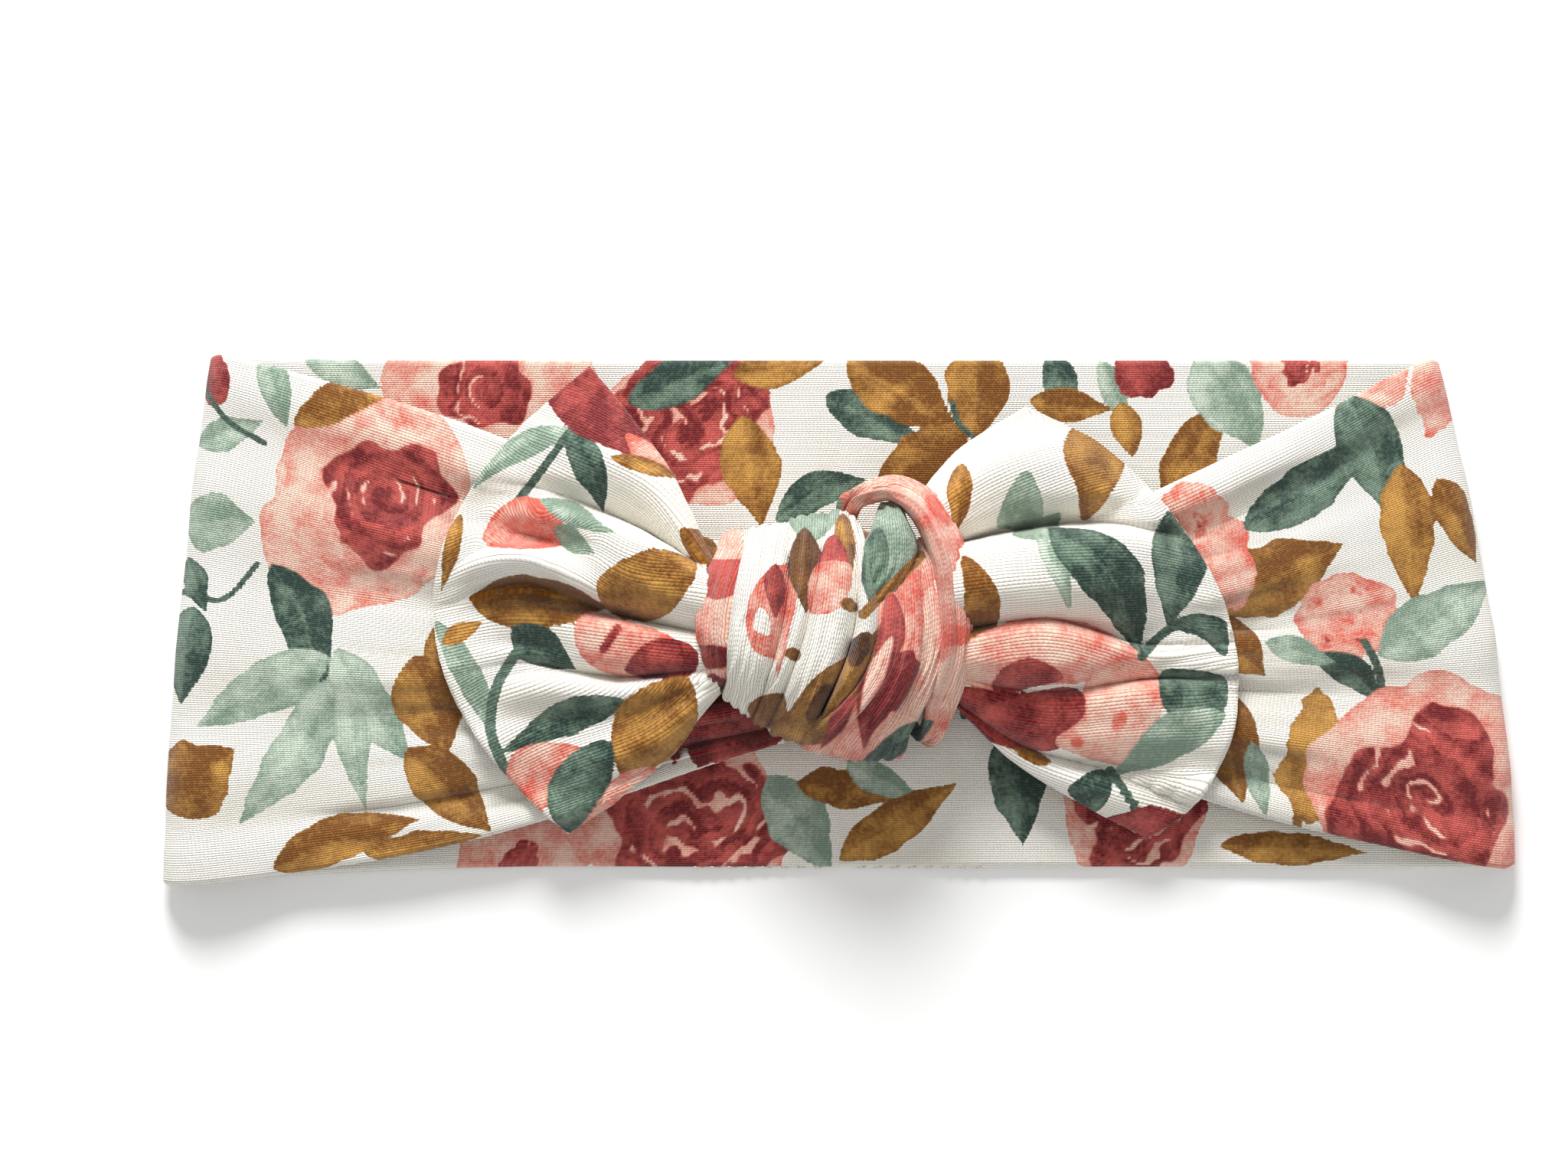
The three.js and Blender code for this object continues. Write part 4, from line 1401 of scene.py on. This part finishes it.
# Each turn of the knot: how far it bulges, its ground dye and that dye's tone, its CAD wrap, the
# width of strip that it takes up, and its length in half rounds of the wrap. The left, middle and
# lower right turns share one strip; the others show part of the second.
TURNS = {
    "knot_wrap_left_1": (1.4, "salmon", 0.35, "knot_left_wrap", 8.5, 0.95),
    "knot_wrap_left_2": (1.7, None, 0.5, "knot_left_wrap", 11.5, 1.1),
    "knot_wrap_left_3": (1.0, None, 0.5, "knot_left_wrap", 8.0, 1.15),
    "knot_wrap_middle_1": (1.6, None, 0.5, "knot_middle_wrap", 9.0, 1.15),
    "knot_wrap_middle_2": (1.6, None, 0.5, "knot_middle_wrap", 6.5, 1.15),
    "knot_wrap_right_1": (1.3, "sage", 0.95, "knot_right_wrap", 12.0, 0.37),
    "knot_wrap_right_2": (1.0, "salmon", 0.55, "knot_right_wrap", 9.0, 0.75),
    "knot_wrap_right_3": (1.0, "salmon", 0.6, "knot_right_wrap", 10.0, 0.8),
    "knot_wrap_right_4": (1.0, "salmon", 0.3, "knot_right_wrap", 12.5, 0.85),
    "knot_roll_inner": (1.2, "salmon", 0.45, "knot_right_roll", 7.0, 1.4),
    "knot_roll_outer": (2.0, "salmon", 0.35, "knot_right_roll", 8.5, 1.4),
}
FIRST_TURNS = ("knot_wrap_left_1", "knot_wrap_middle_1", "knot_wrap_right_1", "knot_roll_outer")
TURN_STEP = 0.27
TURN_THICKNESS = 1.3
EDGE_CURL = 1.9
RIB_PITCH = 1.75
RIB_HEIGHT = 0.2
RIB_MARGIN = 1.4
RIB_DRIFT = 1.6
RIB_DRIFT_SIZE = 4.0
RUMPLE_HEIGHT = 0.35
RUMPLE_SIZE = 2.6
EDGE_WIDTH = 0.9
CORE_CENTRE = on_knot(-0.6, -1.2)
CORE_RADII = (17.2, 14.5)
CORE_TOP = 16.5
CORE_BOTTOM = 4.0
CORE_SHOULDER = 0.6
CORE_LINING = (1, 1, 0.96)
WHOLE_TURN = (60, 60)
TUCK_HEIGHT = 3.6
TUCK_REACH = 0.72
LOW_END = 11.0


def turn_surface(name):
    """A turn of cloth between its two edges, arched across and pleated along."""
    ends, *edges = KNOT_TURNS[name]
    edges = [turn_edge(ends, places, crown) for places, crown in edges]
    rails = [("plain", edge) for edge in tucked(edges)]
    points, _ = skin(rails, TURN_STEP, flip=True)
    rows = len(points)
    fraction = np.linspace(0, 1, rows)[:, None]
    normals = surface_normals(points)
    across = path_lengths(points, 0)
    width = across[-1:]
    arch = np.sqrt(np.clip(1 - (2 * fraction - 1) ** 2, 0, 1))
    facing_up = np.clip(normals[..., 2], 0, 1)
    rise = TURNS[name][0] * arch * (0.12 + 0.88 * facing_up)
    edge = np.minimum(across, width - across)
    curl = -EDGE_CURL * (1 - step_up(edge, 0, EDGE_WIDTH))
    along = path_lengths(points, 1)
    drift = rough_noise(along * 0.6, across, RIB_DRIFT_SIZE, SEED + len(name)) * RIB_DRIFT
    ribs = np.cos(2 * math.pi * (across / RIB_PITCH + drift)) * RIB_HEIGHT
    ribs = ribs + (rough_noise(along * 0.3, across, RUMPLE_SIZE, SEED + 40) - 0.5) * RUMPLE_HEIGHT
    inside = step_up(edge, 0, RIB_MARGIN)
    points = points + normals * (rise + curl * (0.3 + 0.7 * facing_up) + ribs * inside)[..., None]
    return Cloth(points, [(0, "plain"), (rows // 2, "crest"), (rows - 1, "plain")], sewn_end=False)


def tucked(edges):
    """The edges of a turn, with the ends that come low carried on under the knot."""
    result = [list(edge) for edge in edges]
    starts_low = np.mean([edge[0][2] for edge in edges]) < LOW_END
    ends_low = np.mean([edge[-1][2] for edge in edges]) < LOW_END
    for edge in result:
        first, last = under(edge[0]), under(edge[-1])
        if starts_low:
            edge.insert(0, first)
        if ends_low:
            edge.append(last)
    return result


def under(point):
    """The place below the knot that a low end is tucked to."""
    x, y, _ = point
    x = CORE_CENTRE[0] + (x - CORE_CENTRE[0]) * TUCK_REACH
    y = CORE_CENTRE[1] + (y - CORE_CENTRE[1]) * TUCK_REACH
    return (x, y, TUCK_HEIGHT)


def turn_piece(name):
    cloth = turn_surface(name)
    turn = np.clip(cloth.edge / EDGE_WIDTH, 0, 1)
    swell = np.sqrt(np.clip(1 - (1 - turn) ** 2, 0, 1))
    depth = TURN_THICKNESS * (0.15 + 0.85 * swell)
    lower = cloth.points - cloth.normals * depth[..., None]
    return grid_mesh(name, cloth.points, lower, cloth), cloth


def core_surface():
    """The inside of the knot: a low dome of the same cloth, seen only between the turns."""
    angles = np.linspace(0, 2 * math.pi, 97)
    rise = np.linspace(0, math.pi / 2, 33)
    spin, climb = np.meshgrid(angles, rise, indexing="ij")
    reach = np.cos(climb) ** CORE_SHOULDER
    x = CORE_CENTRE[0] + CORE_RADII[0] * reach * np.cos(spin)
    y = CORE_CENTRE[1] + CORE_RADII[1] * reach * np.sin(spin)
    z = CORE_BOTTOM + (CORE_TOP - CORE_BOTTOM) * np.sin(climb)
    return np.stack([x, y, z], axis=-1)


def knot_pieces():
    for name in KNOT_TURNS:
        piece, cloth = turn_piece(name)
        piece.data.materials.append(TIE_JERSEY)
        x, y = places(piece)
        _, dye, tone, wrap, width, rounds = TURNS[name]
        coat = [(blot, dye, (0, 0), WHOLE_TURN, 0, tone, 0.0)] if dye else []
        paint(piece, x, y, coat + KNOT_PRINT + TURN_PRINTS.get(name, []))
        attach(piece, "knot")
        if name in FIRST_TURNS:
            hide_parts(wrap)
    points = core_surface()
    cloth = ClothPart(path_lengths(points, 1), path_lengths(points, 0))
    core = grid_mesh("knot_core", points, points * CORE_LINING, cloth)
    core.data.materials.append(TIE_JERSEY)
    x, y = places(core)
    paint(core, x, y, hidden=np.ones(len(x), bool), seed=SEED + 9)
    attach(core, "knot")
    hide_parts("knot_left_neck", "knot_right_neck")
    return core


# ---------------------------------------------------------------- seams

STITCH_PITCH = 2.4
STITCH_LENGTH = 1.7
THREAD_RADIUS = 0.13
THREAD_SIDES = 6
THREAD_TIP = 0.55
STITCH_STEPS = 5
STITCH_BOW = 0.16
STITCH_INSET = 0.22
GAP_HALF = 22.0


def tubes(name, paths, radius=THREAD_RADIUS):
    """One mesh of short round threads, with an along-and-round UV map."""
    vertices, faces, uvs = [], [], []
    ring = np.linspace(0, 2 * math.pi, THREAD_SIDES, endpoint=False)
    for path in paths:
        base = len(vertices)
        tangents = np.gradient(path, axis=0)
        tangents /= np.linalg.norm(tangents, axis=1, keepdims=True)
        side = np.cross(tangents, (0.13, 0.21, 0.97))
        side /= np.linalg.norm(side, axis=1, keepdims=True)
        lift = np.cross(side, tangents)
        for point, across, up, share in zip(path, side, lift, np.linspace(0, 1, len(path))):
            size = radius * (THREAD_TIP if share in (0.0, 1.0) else 1.0)
            for angle in ring:
                vertices.append(point + size * (math.cos(angle) * across + math.sin(angle) * up))
                uvs.append((share * STITCH_LENGTH, angle))
        for row in range(len(path) - 1):
            for k in range(THREAD_SIDES):
                a = base + row * THREAD_SIDES + k
                b = base + row * THREAD_SIDES + (k + 1) % THREAD_SIDES
                faces.append((a, b, b + THREAD_SIDES, a + THREAD_SIDES))
        last = base + (len(path) - 1) * THREAD_SIDES
        faces.append(tuple(base + k for k in reversed(range(THREAD_SIDES))))
        faces.append(tuple(last + k for k in range(THREAD_SIDES)))
    mesh = bpy.data.meshes.new(name)
    mesh.from_pydata([tuple(v * MM) for v in vertices], [], faces)
    layer = mesh.uv_layers.new(name="Knit")
    for loop in mesh.loops:
        layer.data[loop.index].uv = uvs[loop.vertex_index]
    for face in mesh.polygons:
        face.use_smooth = True
    mesh.validate()
    piece = bpy.data.objects.new(name, mesh)
    bpy.context.scene.collection.objects.link(piece)
    piece.data.materials.append(THREAD)
    return piece


def stitches(line, outward, normals, slant=0.0, inset=STITCH_INSET):
    """Short stitches along a line of edge points, a little inside the edge."""
    steps = np.linalg.norm(np.diff(line, axis=0), axis=1)
    length = np.concatenate([[0], np.cumsum(steps)])
    paths = []
    for start in np.arange(STITCH_PITCH / 2, length[-1] - STITCH_LENGTH, STITCH_PITCH):
        where = np.linspace(start, start + STITCH_LENGTH, STITCH_STEPS)
        share = np.linspace(-1, 1, STITCH_STEPS)
        bow = 1 - share ** 2
        path = []
        for distance, tilt, out in zip(where, share, bow):
            point = np.array([np.interp(distance, length, line[:, k]) for k in range(3)])
            away = np.array([np.interp(distance, length, outward[:, k]) for k in range(3)])
            up = np.array([np.interp(distance, length, normals[:, k]) for k in range(3)])
            path.append(point + away * (out * STITCH_BOW - inset) + up * slant * tilt)
        paths.append(np.array(path))
    return paths


def unit(vectors):
    return vectors / np.maximum(np.linalg.norm(vectors, axis=-1, keepdims=True), 1e-9)


def edge_line(cloth, which, columns):
    """(points, outward directions, normals) along the top, bottom or end edge of a sheet."""
    start, stop = columns or (0, cloth.points.shape[1])
    rows = {"first": (0, 1), "last": (-1, -2)}
    if which == "end":
        return cloth.points[:, -1], unit(cloth.points[:, -1] - cloth.points[:, -2]), cloth.normals[:, -1]
    edge, inner = rows[which]
    part = slice(start, stop)
    return (cloth.points[edge, part], unit(cloth.points[edge, part] - cloth.points[inner, part]),
            cloth.normals[edge, part])


BAND_EDGES = {
    "right": {"top": "first", "bottom": "last"},
    "left": {"top": "last", "bottom": "first"},
}


def band_seams(bands):
    for name, cloth in bands.items():
        edges = BAND_EDGES[name]
        for region, columns in split_columns(cloth).items():
            for edge, which in edges.items():
                line, outward, normals = edge_line(cloth, which, columns)
                node = {"front": f"front_{name}", "fold": f"back_{name}", "back": "back_center"}[region]
                title = f"seam_{region}_{name}_{edge}"
                by_hand = region == "back" and edge == "bottom"
                if by_hand:
                    closed = np.abs(line[:, 0]) < GAP_HALF
                    hand = stitches(line[closed], outward[closed], normals[closed], slant=0.5, inset=0.05)
                    gap = tubes(f"turning_gap_{name}", hand)
                    settle_band(gap, region, name)
                    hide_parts("turning_gap_stitches")
                    line, outward, normals = line[~closed], outward[~closed], normals[~closed]
                piece = tubes(title, stitches(line, outward, normals))
                settle_band(piece, region, name)
                if not by_hand:
                    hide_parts(f"{node}_{edge}_seam")


def fan_seams(fans):
    for name, cloth in fans.items():
        paths = []
        for which in ("first", "end", "last"):
            line, outward, normals = edge_line(cloth, which, None)
            paths += stitches(line, outward, normals)
        piece = tubes(f"seam_wing_{name}", paths)
        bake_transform(piece)
        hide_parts(f"wing_{name}_rim_seam")


# ---------------------------------------------------------------- the studio

WORLD_LIGHT = 0.52
FLOOR_HALF = 1.5
PAPER_COLOR = (0.98, 0.98, 0.975, 1.0)
# Each lamp's place and size in metres, and its power in watts.
LAMPS = {"window": ((-0.08, 0.66, 0.42), 0.30, 7.6), "ceiling": ((0.0, -0.05, 0.9), 0.7, 0.8)}


def studio():
    """A plain white floor, a broad soft light from the top of the view, and a camera straight above."""
    world = bpy.data.worlds.new("studio")
    bpy.context.scene.world = world
    world.use_nodes = True
    background = world.node_tree.nodes["Background"]
    background.inputs["Color"].default_value = (1.0, 1.0, 1.0, 1.0)
    background.inputs["Strength"].default_value = WORLD_LIGHT
    floor_mesh = bpy.data.meshes.new("floor")
    half = FLOOR_HALF
    z = CAD_BOUNDS[0][2]
    corners = [(-half, -half, z), (half, -half, z), (half, half, z), (-half, half, z)]
    floor_mesh.from_pydata(corners, [], [(0, 1, 2, 3)])
    floor = bpy.data.objects.new("floor", floor_mesh)
    bpy.context.scene.collection.objects.link(floor)
    paper, shader = new_material("paper")
    shader.inputs["Base Color"].default_value = PAPER_COLOR
    shader.inputs["Roughness"].default_value = 0.9
    shader.inputs["Specular IOR Level"].default_value = 0.1
    floor_mesh.materials.append(paper)
    for name, (place, size, power) in LAMPS.items():
        area_light(name, place, size, power)
    camera = bpy.data.objects.new("camera", bpy.data.cameras.new("camera"))
    camera.data.lens = LENS
    camera.data.sensor_width = SENSOR
    camera.data.clip_start = 0.01
    distance = VIEW_WIDTH * LENS / SENSOR
    camera.location = (VIEW_CENTRE[0] * MM, VIEW_CENTRE[1] * MM, distance * MM)
    bpy.context.scene.collection.objects.link(camera)
    bpy.context.scene.camera = camera
    bpy.context.scene.view_settings.view_transform = "Standard"


def area_light(name, place, size, power):
    light = bpy.data.lights.new(name, "AREA")
    light.shape = "DISK"
    light.size = size
    light.energy = power
    lamp = bpy.data.objects.new(name, light)
    lamp.location = place
    lamp.rotation_euler = (-Vector(place)).to_track_quat("-Z", "Y").to_euler()
    bpy.context.scene.collection.objects.link(lamp)


def corners(bounds):
    return [[float(value) for value in corner] for corner in bounds]


BANDS = band_plies()
FAN_CLOTHS = fan_plies(BANDS)
knot_pieces()
band_seams(BANDS)
fan_seams(FAN_CLOTHS)
studio()
